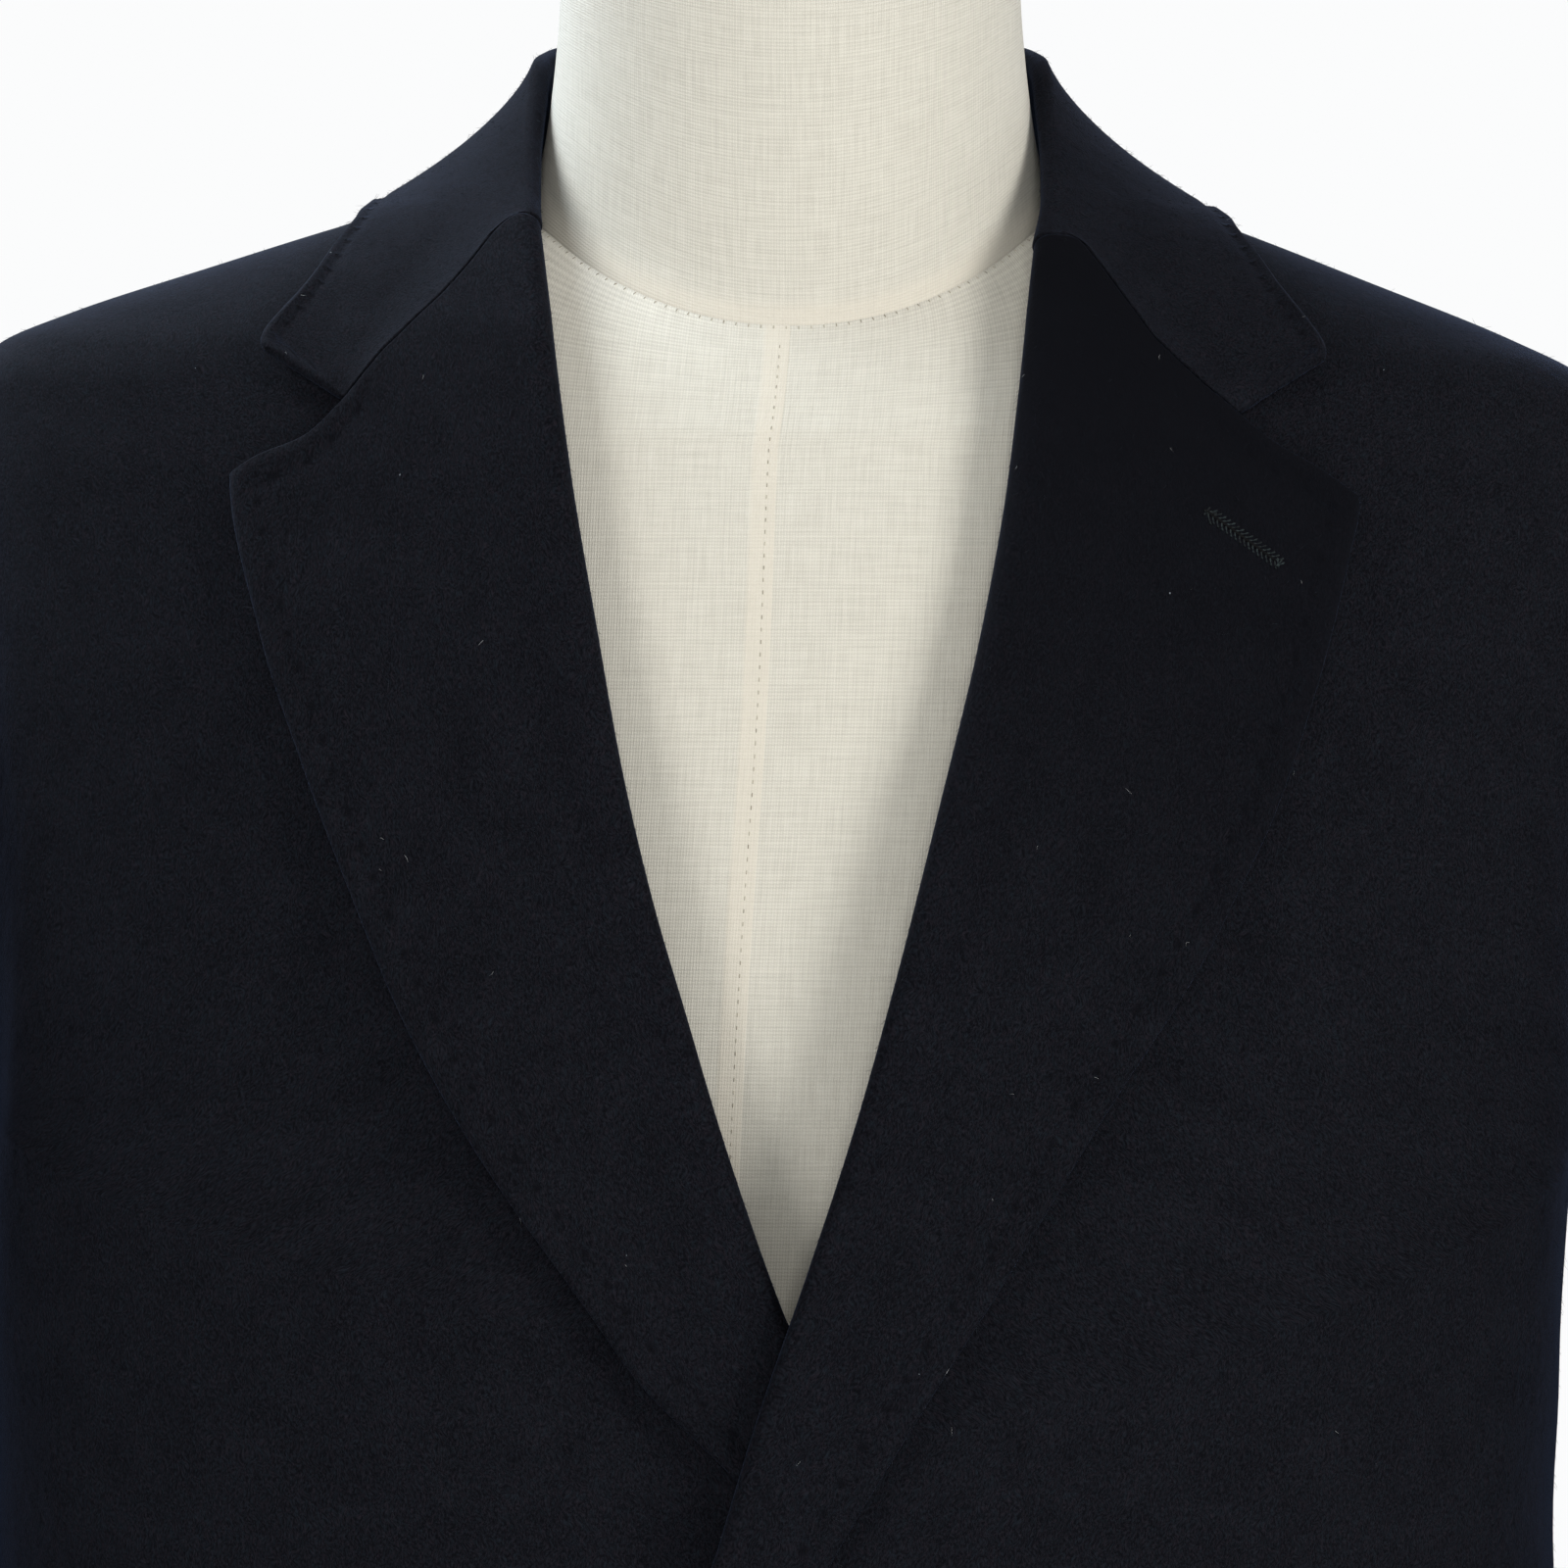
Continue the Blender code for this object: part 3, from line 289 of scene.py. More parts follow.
def coat_section(height, rear):
    """Centre, half width and depth of the coat at a height, the depth on the front or the back."""
    depth = np.where(rear, COAT.read("back", height), COAT.read("front", height))
    return COAT.read("centre", height), COAT.read("half_width", height), depth


def off_coat(points):
    """How far points stand off the coat's surface, by its slope, and the unit vector out of it."""
    x, y, height = np.moveaxis(points, -1, 0)
    centre, half_width, depth = coat_section(height, y > 0)
    above = coat_section(height + SLOPE_STEP, y > 0)
    below = coat_section(height - SLOPE_STEP, y > 0)
    rise = [(high - low) / (2 * SLOPE_STEP) for high, low in zip(above, below)]
    u, w = np.abs(x - centre) / half_width, np.abs(y) / depth
    level = np.maximum(u ** SQUARENESS + w ** SQUARENESS, 1e-9) ** (1 / SQUARENESS)
    share = level ** (1 - SQUARENESS)
    along_x = share * u ** (SQUARENESS - 1) * np.sign(x - centre) / half_width
    along_y = share * w ** (SQUARENESS - 1) * np.sign(y) / depth
    along_z = -along_x * ((x - centre) / half_width * rise[1] + rise[0]) - along_y * y / depth * rise[2]
    slope = join(along_x, along_y, along_z)
    steep = np.linalg.norm(slope, axis=-1, keepdims=True)
    return (level - 1) / steep[..., 0], slope / steep


FORM_FOOT = 0.790
FORM_SHOULDERS = 1.365
FORM = Table("""
    height half_width front back
    0.790  0.150 0.088 0.100
    0.800  0.162 0.098 0.112
    0.850  0.172 0.105 0.120
    0.950  0.160 0.103 0.108
    1.020  0.150 0.100 0.098
    1.120  0.162 0.110 0.103
    1.200  0.176 0.118 0.110
    1.280  0.184 0.114 0.115
    1.330  0.187 0.104 0.112
    1.365  0.187 0.090 0.102
""")
FORM_SHOULDER = Table("""
    step across    up front_across front_up
    0.00  0.000 0.000  0.00 0.00
    0.14  0.010 0.160  0.10 0.14
    0.28  0.045 0.400  0.24 0.28
    0.42  0.150 0.590  0.40 0.44
    0.56  0.320 0.735  0.57 0.60
    0.72  0.580 0.880  0.73 0.75
    0.86  0.800 0.950  0.86 0.87
    1.00  1.000 1.000  1.00 1.00
""")
FORM_REST = 0.0034
NECK_FRONT_DEPTH = 0.068
NECK_BACK_DEPTH = 0.057
NECK_SEAM = Table("""
    depth  height
    -0.0680 1.3990
    -0.0540 1.4112
    -0.0317 1.4268
    -0.0055 1.4365
    0.0300  1.4425
    0.0570  1.4450
""")
NECK = Table("""
    share half_width
    0.00 0.0735
    0.05 0.0700
    0.10 0.0682
    0.16 0.0667
    0.27 0.0648
    0.38 0.0636
    0.75 0.0622
    0.90 0.0600
    0.97 0.0520
    1.00 0.0380
""")
NECK_TOP = 1.585
FRONT_SEAM = Table("""
    height  across
    0.790  -0.0200
    1.100  -0.0165
    1.173  -0.0134
    1.2245 -0.0108
    1.302  -0.0057
    1.366  -0.0031
    1.396  -0.0010
""")
SEAM_CROWD = 5.0
SEAM_SWAY = 0.9
FORM_COLUMNS = 240
BAND_WIDTH = 0.0078
SEAM_DEPTH = 0.00006
SEAM_HALF_WIDTH = 0.0007
LINEN_LIGHT = (0.71, 0.685, 0.60)
LINEN_DARK = (0.53, 0.505, 0.435)
LINEN_BAND = (0.73, 0.67, 0.56)
WARP_PITCH = 0.00076
WEFT_PITCH = 0.00094
SLUBS = ((1200.0, 70.0, 1.0), (70.0, 1050.0, 1.0))


def rounded(half_width, front, back, height, turns):
    """Horizontal section: sine and cosine of the turn, each drawn out towards a rounded oblong."""
    sine, cosine = np.sin(turns), np.cos(turns)
    x = half_width * np.sign(sine) * np.abs(sine) ** (2 / SQUARENESS)
    y = -np.where(cosine < 0, back, front) * np.sign(cosine) * np.abs(cosine) ** (2 / SQUARENESS)
    return join(x, y, height)


def neck_oval(turns, half_width):
    """Oval that rises from the pit of the neck, steeply at first, past the sides to the nape."""
    middle = (NECK_BACK_DEPTH - NECK_FRONT_DEPTH) / 2
    half_depth = (NECK_BACK_DEPTH + NECK_FRONT_DEPTH) / 2
    height = NECK_SEAM.read("height", middle - half_depth * np.cos(turns))
    y = middle - half_depth * half_width / NECK["half_width"][0] * np.cos(turns)
    return join(half_width * np.sin(turns), y, height)


def carry(points):
    """Bring the shoulders up until the coat rests on them, fading out to the neck and the arms."""
    x, y, height = np.moveaxis(points, -1, 0)
    off, way = off_coat(points)
    share = ease((np.abs(x) - 0.084) / 0.022) * ease((0.180 - np.abs(x)) / 0.030)
    share = share * ease((y + 0.030) / 0.030) * ease((0.080 - y) / 0.030) * ease((height - 1.385) / 0.020)
    return points - ((off + FORM_REST) * share)[..., None] * way


def linen():
    """Plain weave in the cloth's own metres, with slubs, a warmer seam band and a soft nap."""
    material, tree = new_material("cream_linen", Roughness=0.88, Sheen_Weight=0.25, Sheen_Roughness=0.5)
    place = node(tree, "UVMap", uv_map="cloth")
    ways = node(tree, "SeparateXYZ", {0: place}, slice(0, 2))
    waves = [maths(tree, "SINE", maths(tree, "MULTIPLY", way, math.pi / pitch))
             for way, pitch in zip(ways, (WARP_PITCH, WEFT_PITCH))]
    over = maths(tree, "MULTIPLY", *waves)
    strands = [maths(tree, "MULTIPLY", maths(tree, "ABSOLUTE", wave),
                     maths(tree, "MULTIPLY_ADD", over, above, 0.6))
               for wave, above in zip(waves, (0.4, -0.4))]
    cloth = maths(tree, "MAXIMUM", *strands)
    slub = maths(tree, "ADD", *(noise(tree, mapping(tree, place, scale)) for scale in SLUBS))
    woven = maths(tree, "MULTIPLY_ADD", cloth, 0.9, maths(tree, "MULTIPLY", slub, 0.75))
    plain = blend(tree, remap(tree, woven, 0.75, 1.65), LINEN_DARK, LINEN_LIGHT)
    band = node(tree, "Attribute", output="Fac", attribute_name="band")
    colour = blend(tree, maths(tree, "MULTIPLY", band, 0.5), plain, LINEN_BAND)
    return finish(material, colour, relief=(maths(tree, "MULTIPLY_ADD", slub, 0.5, cloth), 0.6, 0.00022))


def cover(name, rings, band):
    """Closed body through rings, with UV metres from the front seam and up, and a cap at each end."""
    rows, columns = rings.shape[0], rings.shape[1] - 1
    half = columns // 2
    across = reaches(rings, 1)
    across = across - across[:, half:half + 1]
    index = ring_index(rows, columns)
    metres = join(across, reaches(rings, 0)[:, half:half + 1])
    made = skin(name + "_cover", rings[:, :-1].reshape(-1, 3), around(index), around(metres), cream_linen,
                "cream_linen", [index[0, :0:-1], index[-1, :-1]], {"band": band[:, :-1].ravel()})
    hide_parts(name)


def shrunk(ring, shares):
    """Copies of a ring drawn in towards its middle, which close an end of the body."""
    middle = ring[:-1].mean(axis=0)
    return middle + (ring - middle)[None] * np.asarray(shares)[:, None, None]


spread = np.sinh(np.linspace(-1, 1, FORM_COLUMNS + 1) * SEAM_CROWD) / math.sinh(SEAM_CROWD) * math.pi
heights = np.r_[FORM_FOOT, 0.7925, np.linspace(0.795, FORM_SHOULDERS, 80)][:, None]
half_width = FORM.read("half_width", heights)
seam_turn = -(np.abs(FRONT_SEAM.read("across", heights)) / half_width) ** (SQUARENESS / 2)
turns = spread[None] + seam_turn * bell(spread[None], SEAM_SWAY)
trunk = rounded(half_width, FORM.read("front", heights), FORM.read("back", heights), heights, turns)
step = np.linspace(0, 1, 60)[1:, None, None]
turns = spread[None] + (seam_turn[-1] * bell(spread, SEAM_SWAY))[None] * (1 - step[:, :, 0])
sideways = (np.abs(np.sin(turns)) ** 1.5)[..., None]
over, up = (mix(FORM_SHOULDER.read("front_" + way, step), FORM_SHOULDER.read(way, step), sideways)
            for way in ("across", "up"))
base = rounded(half_width[-1], FORM["front"][-1], FORM["back"][-1], FORM_SHOULDERS, turns)
share = np.concatenate([over, over, up], axis=-1)
torso = carry(np.concatenate([trunk, mix(base, neck_oval(turns, NECK["half_width"][0]), share)]))
from_seam = reaches(torso, 1)
from_seam = from_seam - from_seam[:, FORM_COLUMNS // 2, None]
below_neck = reaches(torso[::-1], 0)[::-1]
torso_out = -sheet_normals(torso)
band = ease((from_seam + BAND_WIDTH) / 0.0016) * ease(-from_seam / 0.0003)
groove = SEAM_DEPTH * (bell(from_seam, SEAM_HALF_WIDTH) + bell(below_neck, SEAM_HALF_WIDTH))
torso = torso + (0.00012 * band - groove)[..., None] * torso_out
cream_linen = linen()
close = torso[-1:] + 0.03 * (torso[-2:-1] - torso[-1:])
rings = [shrunk(torso[0], (0.15, 0.6, 0.93)), torso[:-1], close, torso[-1:], shrunk(torso[-1], (0.985, 0.8))]
cover("form_torso", np.concatenate(rings), np.pad(band, ((3, 3), (0, 0))))

turns = np.linspace(-math.pi, math.pi, 161)[None]
rise = np.r_[0, 0.0005, 0.004, 0.010, np.linspace(0.02, 0.97, 56), 0.98, 0.987, 0.993, 0.997, 1.0][:, None]
neck = neck_oval(turns, NECK.read("half_width", rise))
neck[..., 2] = mix(neck[..., 2] + FORM_SEAM_GAP, NECK_TOP, rise)
above_seam = reaches(neck, 0)
band = ease((BAND_WIDTH - above_seam) / 0.0020)
neck = neck + (SEAM_DEPTH * bell(above_seam, SEAM_HALF_WIDTH))[..., None] * sheet_normals(neck)
rings = [shrunk(neck[0], (0.8, 0.985)), neck, shrunk(neck[-1], (0.7, 0.3))]
cover("form_neck", np.concatenate(rings), np.pad(band, ((2, 2), (0, 0))))


# Back: two panels of brushed overcoat wool, about 2.4 mm thick, joined down the centre back and to
# the fronts at the sides and shoulders. The cloth is felted and raised, so its face is a soft nap
# that lies downwards, and each seam is pressed open and shows as a fine groove.

SIDES = {1: "left", -1: "right"}
PANEL_WALL = 0.0024
HEM = 0.440
UNDERARM = 1.190
SHOULDER_POINT = 1.385
SHOULDER_LOWEST = 1.36
SEAM_TRIM = 0.00001
SIDE_SEAM = 0.006
CENTRE_SEAM = 0.003
SEAM_RIM = 0.0007
EDGE_RIM = 0.0013
RIM_STEPS = np.array([0.00012, 0.00035, 0.0007, 0.0013])[:, None]
PICK_RADIUS = 0.0019
PICK_SPACING = 0.008
FLUTE_DEPTH = 0.0065
FLUTE_TOP = 0.95
FLUTE_RADIUS = 0.19
ARMHOLE_FRONT = 20.0
ARMHOLE_BACK = 27.0
TOP_ROW = 31
BODY_ROWS = np.linspace(0, TOP_ROW, 187)
BACK_COLUMNS = np.linspace(0, 1, 52)
NECKLINE = Table("""
    share across  depth
    0.00  0.0000 0.0620
    0.28  0.0380 0.0555
    0.56  0.0660 0.0350
    1.00  0.0780 0.0000
""")
WOOL_COLOUR = (0.0026, 0.0028, 0.0043)
WOOL_TEAL = (0.0092, 0.0122, 0.0170)
WOOL_VIOLET = (0.0128, 0.0113, 0.0157)
WOOL_LINT = (0.16, 0.18, 0.20)
WOOL_SHEEN = (0.35, 0.50, 0.95, 1)
FIBRES_A_METRE = 2700.0
LINT_A_METRE = 120.0
LINT_SIZE = 0.030
LINT_SHARE = 0.045


def nap_group():
    """Brushed nap: short fibres that lie along V and sway a little, in clouds of lighter tips."""
    tree = bpy.data.node_groups.new("brushed_nap", "ShaderNodeTree")
    tree.interface.new_socket("Place", in_out="INPUT", socket_type="NodeSocketVector")
    for label in ("Tips", "Hue", "Lint", "Height"):
        tree.interface.new_socket(label, in_out="OUTPUT", socket_type="NodeSocketFloat")
    place = tree.nodes.new("NodeGroupInput").outputs["Place"]
    drift = noise(tree, place, 170.0, 1.0, "Color")
    drift = node(tree, "VectorMath", {0: drift, 1: (0.5, 0.5, 0.5)}, operation="SUBTRACT")
    pushed = node(tree, "VectorMath", {0: drift, "Scale": 0.0045}, operation="SCALE")
    swayed = node(tree, "VectorMath", {0: place, 1: pushed}, operation="ADD")
    short = mapping(tree, swayed, (0.8, 0.42, 1.0), (0, 0, 0.6))
    hairs = noise(tree, mapping(tree, swayed, (1.0, 0.36, 1.0)), FIBRES_A_METRE, 2.0, Roughness=0.6)
    tufts = noise(tree, short, 0.8 * FIBRES_A_METRE, 1.0)
    height = maths(tree, "MULTIPLY_ADD", hairs, 0.6, maths(tree, "MULTIPLY", tufts, 0.4))
    cloud = maths(tree, "MULTIPLY_ADD", noise(tree, place, 60.0, 3.0), 0.14, height)
    tips = remap(tree, cloud, 0.47, 0.74)
    hue = remap(tree, noise(tree, short, 0.45 * FIBRES_A_METRE, 1.0), 0.32, 0.68)

    distance, colour = node(tree, "TexVoronoi", {"Vector": place, "Scale": LINT_A_METRE}, slice(0, 2))
    chance = node(tree, "SeparateColor", {0: colour})
    lint = maths(tree, "MULTIPLY", maths(tree, "LESS_THAN", distance, LINT_SIZE),
                 maths(tree, "LESS_THAN", chance, LINT_SHARE))
    leave = tree.nodes.new("NodeGroupOutput")
    for value, socket in zip((tips, hue, lint, height), leave.inputs):
        tree.links.new(value, socket)
    return tree


def wool(name, painted_shade_tips=1.0, shaped=False):
    """Felted wool with the brushed nap in its colour and relief, and a sheen where it turns away.
    The fibres' tips are teal and violet greys. A share below 1 paints shade on the piece: the tips
    show less towards its far end, down to that share, which darkens it there. On a piece shaped by
    stretching, its own UV map would draw the nap out, so there it follows the object, with its fibres
    down the coat."""
    material, tree = new_material(name, Roughness=0.92, Sheen_Weight=0.08, Sheen_Roughness=0.3,
                                  Sheen_Tint=WOOL_SHEEN, Specular_IOR_Level=0.05)
    place = node(tree, "UVMap", uv_map="cloth")
    if shaped:
        place = mapping(tree, node(tree, "TexCoord", output="Object"), (1, 1, 1), (math.pi / 2, 0, 0))
    tips, hue, lint, height = node(tree, "Group", {0: place}, slice(0, 4), node_tree=brushed_nap)
    # Painted shade: the tips fade towards the piece's far end, which darkens it there.
    if painted_shade_tips < 1:
        along = node(tree, "SeparateXYZ", {0: place}, 1)
        tips = maths(tree, "MULTIPLY", tips, remap(tree, along, 0.20, 0.40, 1.0, painted_shade_tips))
    cloth = blend(tree, tips, WOOL_COLOUR, blend(tree, hue, WOOL_TEAL, WOOL_VIOLET))
    cloth = blend(tree, lint, cloth, WOOL_LINT)
    off_line, turn = (node(tree, "Attribute", output="Fac", attribute_name=label)
                      for label in ("stitch_line", "stitch_count"))
    off_line = maths(tree, "SUBTRACT", off_line, 1.0)
    off_stitch = maths(tree, "MULTIPLY", maths(tree, "PINGPONG", turn, 0.5), PICK_SPACING)
    off_stitch = maths(tree, "MULTIPLY", off_stitch, off_stitch)
    off = maths(tree, "SQRT", maths(tree, "MULTIPLY_ADD", off_line, off_line, off_stitch))
    dimple_and_painted_shade = remap(tree, off, 0.0, PICK_RADIUS, 1.0, 0.0, interpolation_type="SMOOTHSTEP")
    # Painted shade: each pick stitch's dimple is darkened towards the wool's darkest colour, besides its
    # bump.
    colour = blend(tree, maths(tree, "MULTIPLY", dimple_and_painted_shade, 0.85), cloth, WOOL_COLOUR)
    return finish(material, colour, relief=(maths(tree, "MULTIPLY_ADD", dimple_and_painted_shade, -1.3, height), 0.5, 0.0006))


def coat_round(angle, height):
    """Point of the coat's surface: angle 0 is the centre front, 90 the left side, 180 the centre back.
    Below the waist its radius swings a little with the angle, which makes the skirt's soft flutes."""
    turn = np.radians(angle)
    centre, half_width, depth = coat_section(height, np.cos(turn) < 0)
    drop = np.clip((FLUTE_TOP - height) / (FLUTE_TOP - HEM), 0, 1) ** 1.6
    flutes = 0.6 * np.cos(5 * turn + 0.5) + 0.4 * np.cos(8 * turn - 0.9)
    swing = 1 + FLUTE_DEPTH / FLUTE_RADIUS * drop * flutes
    return rounded(half_width, depth, depth, 0, turn) * swing[..., None] + join(centre, 0, height)


def coat_angle(points):
    """The angle at which coat_round gives each point, worked back from where it lies."""
    x, y, height = np.moveaxis(points, -1, 0)
    centre, half_width, depth = coat_section(height, y > 0)
    sine = np.abs((x - centre) / half_width) ** (SQUARENESS / 2)
    quarter = np.degrees(np.arctan2(sine, np.abs(y / depth) ** (SQUARENESS / 2)))
    return np.sign(x - centre + 1e-12) * np.where(y > 0, 180 - quarter, quarter)


def coat_normal(points):
    """Unit vector out of the coat."""
    return off_coat(points)[1]


def coat_top(x, y):
    """Point of the coat's surface over a place on the shoulders, its height found by halving."""
    low, high = np.full(np.shape(x), SHOULDER_LOWEST), np.full(np.shape(x), COAT.along[-1])
    for _ in range(40):
        middle = (low + high) / 2
        inside = off_coat(join(x, y, middle))[0] < 0
        low, high = np.where(inside, middle, low), np.where(inside, high, middle)
    return join(x, y, (low + high) / 2)


def armhole(turn):
    """Angle and height on the coat of the armhole: turn 0 is its top, 90 its front, 180 the underarm."""
    swing = np.sin(np.radians(turn))
    height = mix(UNDERARM, SHOULDER_POINT, (1 + np.cos(np.radians(turn))) / 2)
    return 90 - np.where(swing > 0, ARMHOLE_FRONT, ARMHOLE_BACK) * swing, height


def stretch(first, last):
    """Shares of the way between two rows of a panel's border, one for each row above the first."""
    rows = BODY_ROWS[(BODY_ROWS > first) & (BODY_ROWS <= last)]
    return (np.r_[0, rows] if first == 0 else rows - first) / (last - first)


def side_line(side, front, knee):
    """Side seam from the hem to the underarm at row `knee`, then the armhole to the shoulder point."""
    seam = 90 - SIDE_SEAM if front else 90 + SIDE_SEAM
    low = walk(coat_round(side * seam, np.linspace(HEM, UNDERARM, 200)), stretch(0, knee))
    turn = 180 - 180 * stretch(knee, TOP_ROW)
    angle, height = armhole(turn if front else -turn)
    angle = np.minimum(angle, seam) if front else np.maximum(angle, seam)
    return np.concatenate([low, coat_round(side * angle, height)])


def lay_between(outer, inner, columns):
    """Sheet of the coat's surface between two lines of as many points, at the fractions given."""
    ends = [join(coat_angle(line), line[..., 2])[:, None] for line in (outer, inner)]
    mixed = mix(*ends, columns[:, None])
    return coat_round(mixed[..., 0], mixed[..., 1])


def trim(points, distances):
    """Draw the left, right, first and last borders of a sheet of points in by a seam's share each."""
    points = points.copy()
    borders = ((np.s_[:, 0], np.s_[:, 1]), (np.s_[:, -1], np.s_[:, -2]), (0, 1), (-1, -2))
    for (rim, inner), distance in zip(borders, distances):
        points[rim] = points[rim] + distance * unit(points[inner] - points[rim])
    return points


def hang(sheet):
    """The coat hangs a little lower on its wearer's left shoulder and higher on the right."""
    across = sheet[..., 0]
    drop = 0.032 * np.maximum(across - 0.075, 0) - 0.046 * np.maximum(-across - 0.124, 0)
    return sheet - join(0, 0, drop * ease((sheet[..., 2] - 1.02) / 0.25))


def with_rims(sheet):
    """The sheet with a few close rows and columns added inside each border, for its rim to turn on."""
    for axis in (0, 1):
        for end in (False, True):
            lines = np.moveaxis(sheet, axis, 0)
            lines = lines[::-1] if end else lines
            first, second = lines[0], lines[1]
            gap = np.linalg.norm(second - first, axis=-1)
            steps = np.minimum(RIM_STEPS, RIM_STEPS / RIM_STEPS[-1] * gap[None] * 0.7)
            added = first[None] + steps[..., None] * unit(second - first)[None]
            lines = np.concatenate([first[None], added, lines[1:]])
            sheet = np.moveaxis(lines[::-1] if end else lines, 0, axis)
    return sheet


def stitch_count(along, spacing):
    """Number of the pick stitch at each place along a line, a little uneven, as by hand."""
    return along / spacing + 0.10 * np.sin(190 * along)


def stitch_marks(sheet, borders, inset, spacing, free, ends):
    """Each point's distance off the line of pick stitches, its count along the line, and how far the
    turned edge stands out there. The line keeps its inset from the right border, and from the ends
    named where they are free, past the share `free` of the way across."""
    across = borders["left"] / (borders["left"] + borders["right"])
    off = borders["right"].copy()
    along = reaches(sheet, 0)[:, -1:] + 0 * off
    for end in ends:
        nearer = (borders[end] < off) & (across > free)
        along = np.where(nearer, borders["left"], along)
        off = np.where(nearer, borders[end], off)
    ridge = 0.0007 * bell(off - 0.40 * inset, 0.40 * inset) - 0.0005 * bell(off - inset, 0.0018)
    return {"stitch_line": 1 + off - inset, "stitch_count": stitch_count(along, spacing)}, ridge


def shell(name, sheet, wall, face, rims, relief=None, stitches=None, material=None):
    """Cloth that stands for the node of its name: a wall about a sheet of points, its two layers
    meeting in a rim like a quarter circle.

    face is 1 or -1: the side of the sheet that shows. rims gives the left, right, first and last
    border's rim, and relief takes the sheet and its distances to those borders and says how far the
    face stands out. stitches are the inset, spacing, free share and free ends of its pick stitches.
    """
    sheet = hang(with_rims(sheet))
    from_left, from_start = reaches(sheet, 1), reaches(sheet, 0)
    borders = {"left": from_left, "right": from_left[:, -1:] - from_left,
               "start": from_start, "end": from_start[-1:] - from_start}
    share = np.ones(sheet.shape[:2])
    for distance, rim in zip(borders.values(), rims):
        share = np.minimum(share, np.sqrt(1 - (1 - np.clip(distance / rim, 0, 1)) ** 2))
    out = face * sheet_normals(sheet)
    lift = wall / 2 * share
    stand = relief(sheet, borders) * share if relief else 0 * share
    marks = {}
    if stitches:
        marks, ridge = stitch_marks(sheet, borders, *stitches)
        stand = stand + ridge * share
    outer = sheet + (lift + stand)[..., None] * out
    inner = sheet + (stand - lift)[..., None] * out
    faces[name] = outer, out

    rows, columns = sheet.shape[:2]
    index = np.arange(rows * columns).reshape(rows, columns)
    under = index.copy()
    under[1:-1, 1:-1] = rows * columns + np.arange((rows - 2) * (columns - 2)).reshape(rows - 2, columns - 2)
    vertices = np.concatenate([outer.reshape(-1, 3), inner[1:-1, 1:-1].reshape(-1, 3)])
    quads = np.concatenate([around(index, face < 0), around(under, face > 0)])
    metres = join(from_left, from_start)
    uv = np.concatenate([around(metres, face < 0), around(metres, face > 0)])
    marks = {label: np.r_[value.ravel(), 0 * value[1:-1, 1:-1].ravel()] for label, value in marks.items()}
    made = skin(name + "_cloth", vertices, quads, uv, material or navy_wool, "navy_wool", marks=marks)
    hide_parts(name)
    return made


def body_creases(sheet, borders):
    """Soft troughs and ridges of the hanging cloth: pulls at the waist and drape below the armholes."""
    angle, height = np.abs(coat_angle(sheet)), sheet[..., 2]
    side = np.sign(sheet[..., 0] + 1e-9)
    waist = bell(height - 1.005, 0.10) * ease((angle - 35) / 40)
    pulls = np.sin((height + 0.0011 * (angle - 90)) / 0.052 * 2 * math.pi + 0.8 * side)
    drape = bell(angle - 66 - 40 * (1.30 - height), 7.0) * ease((1.345 - height) / 0.05)
    rear = bell(angle - 118 + 30 * (1.30 - height), 9.0) * ease((1.345 - height) / 0.06)
    skirt = np.sin(np.radians(angle) * 9 + 2.0 * side) * ease((0.80 - height) / 0.3)
    away = ease(borders["left"] / 0.03) * ease(borders["right"] / 0.03)
    drape, rear = drape * ease((height - 1.06) / 0.12), rear * ease((height - 1.02) / 0.14)
    return (0.0008 * waist * pulls + 0.0020 * drape + 0.0024 * rear + 0.0012 * skirt) * away


faces = {}
brushed_nap = nap_group()
navy_wool = wool("navy_wool_nap")
PANEL_TRIM = (SEAM_TRIM, SEAM_TRIM, 0, 1.5 * SEAM_TRIM)


def neckline_back(side, samples=120):
    """Back neckline from the centre to the shoulder seam."""
    share = np.linspace(0, 1, samples)
    return coat_top(side * NECKLINE.read("across", share), np.maximum(NECKLINE.read("depth", share), 1e-4))


def back_panel(side, neck_row=20):
    """Back from its side seam and armhole to the centre-back seam and, above it, the back neckline."""
    neckline = neckline_back(side)
    centre = coat_round(side * (180 - CENTRE_SEAM), np.linspace(HEM, neckline[0, 2], 300))
    inner = [walk(centre, stretch(0, neck_row)), walk(neckline, stretch(neck_row, TOP_ROW))]
    sheet = lay_between(side_line(side, False, 12), np.concatenate(inner), BACK_COLUMNS)
    shell(SIDES[side] + "_back", trim(sheet, PANEL_TRIM), PANEL_WALL, -side,
          (SEAM_RIM, SEAM_RIM, EDGE_RIM, SEAM_RIM), body_creases)


for side in SIDES:
    back_panel(side)


# Fronts: one panel a side, the left lapped 25 mm over the right. Below the break its edge hangs
# free. Above it, the panel ends where the lapel's fold begins.

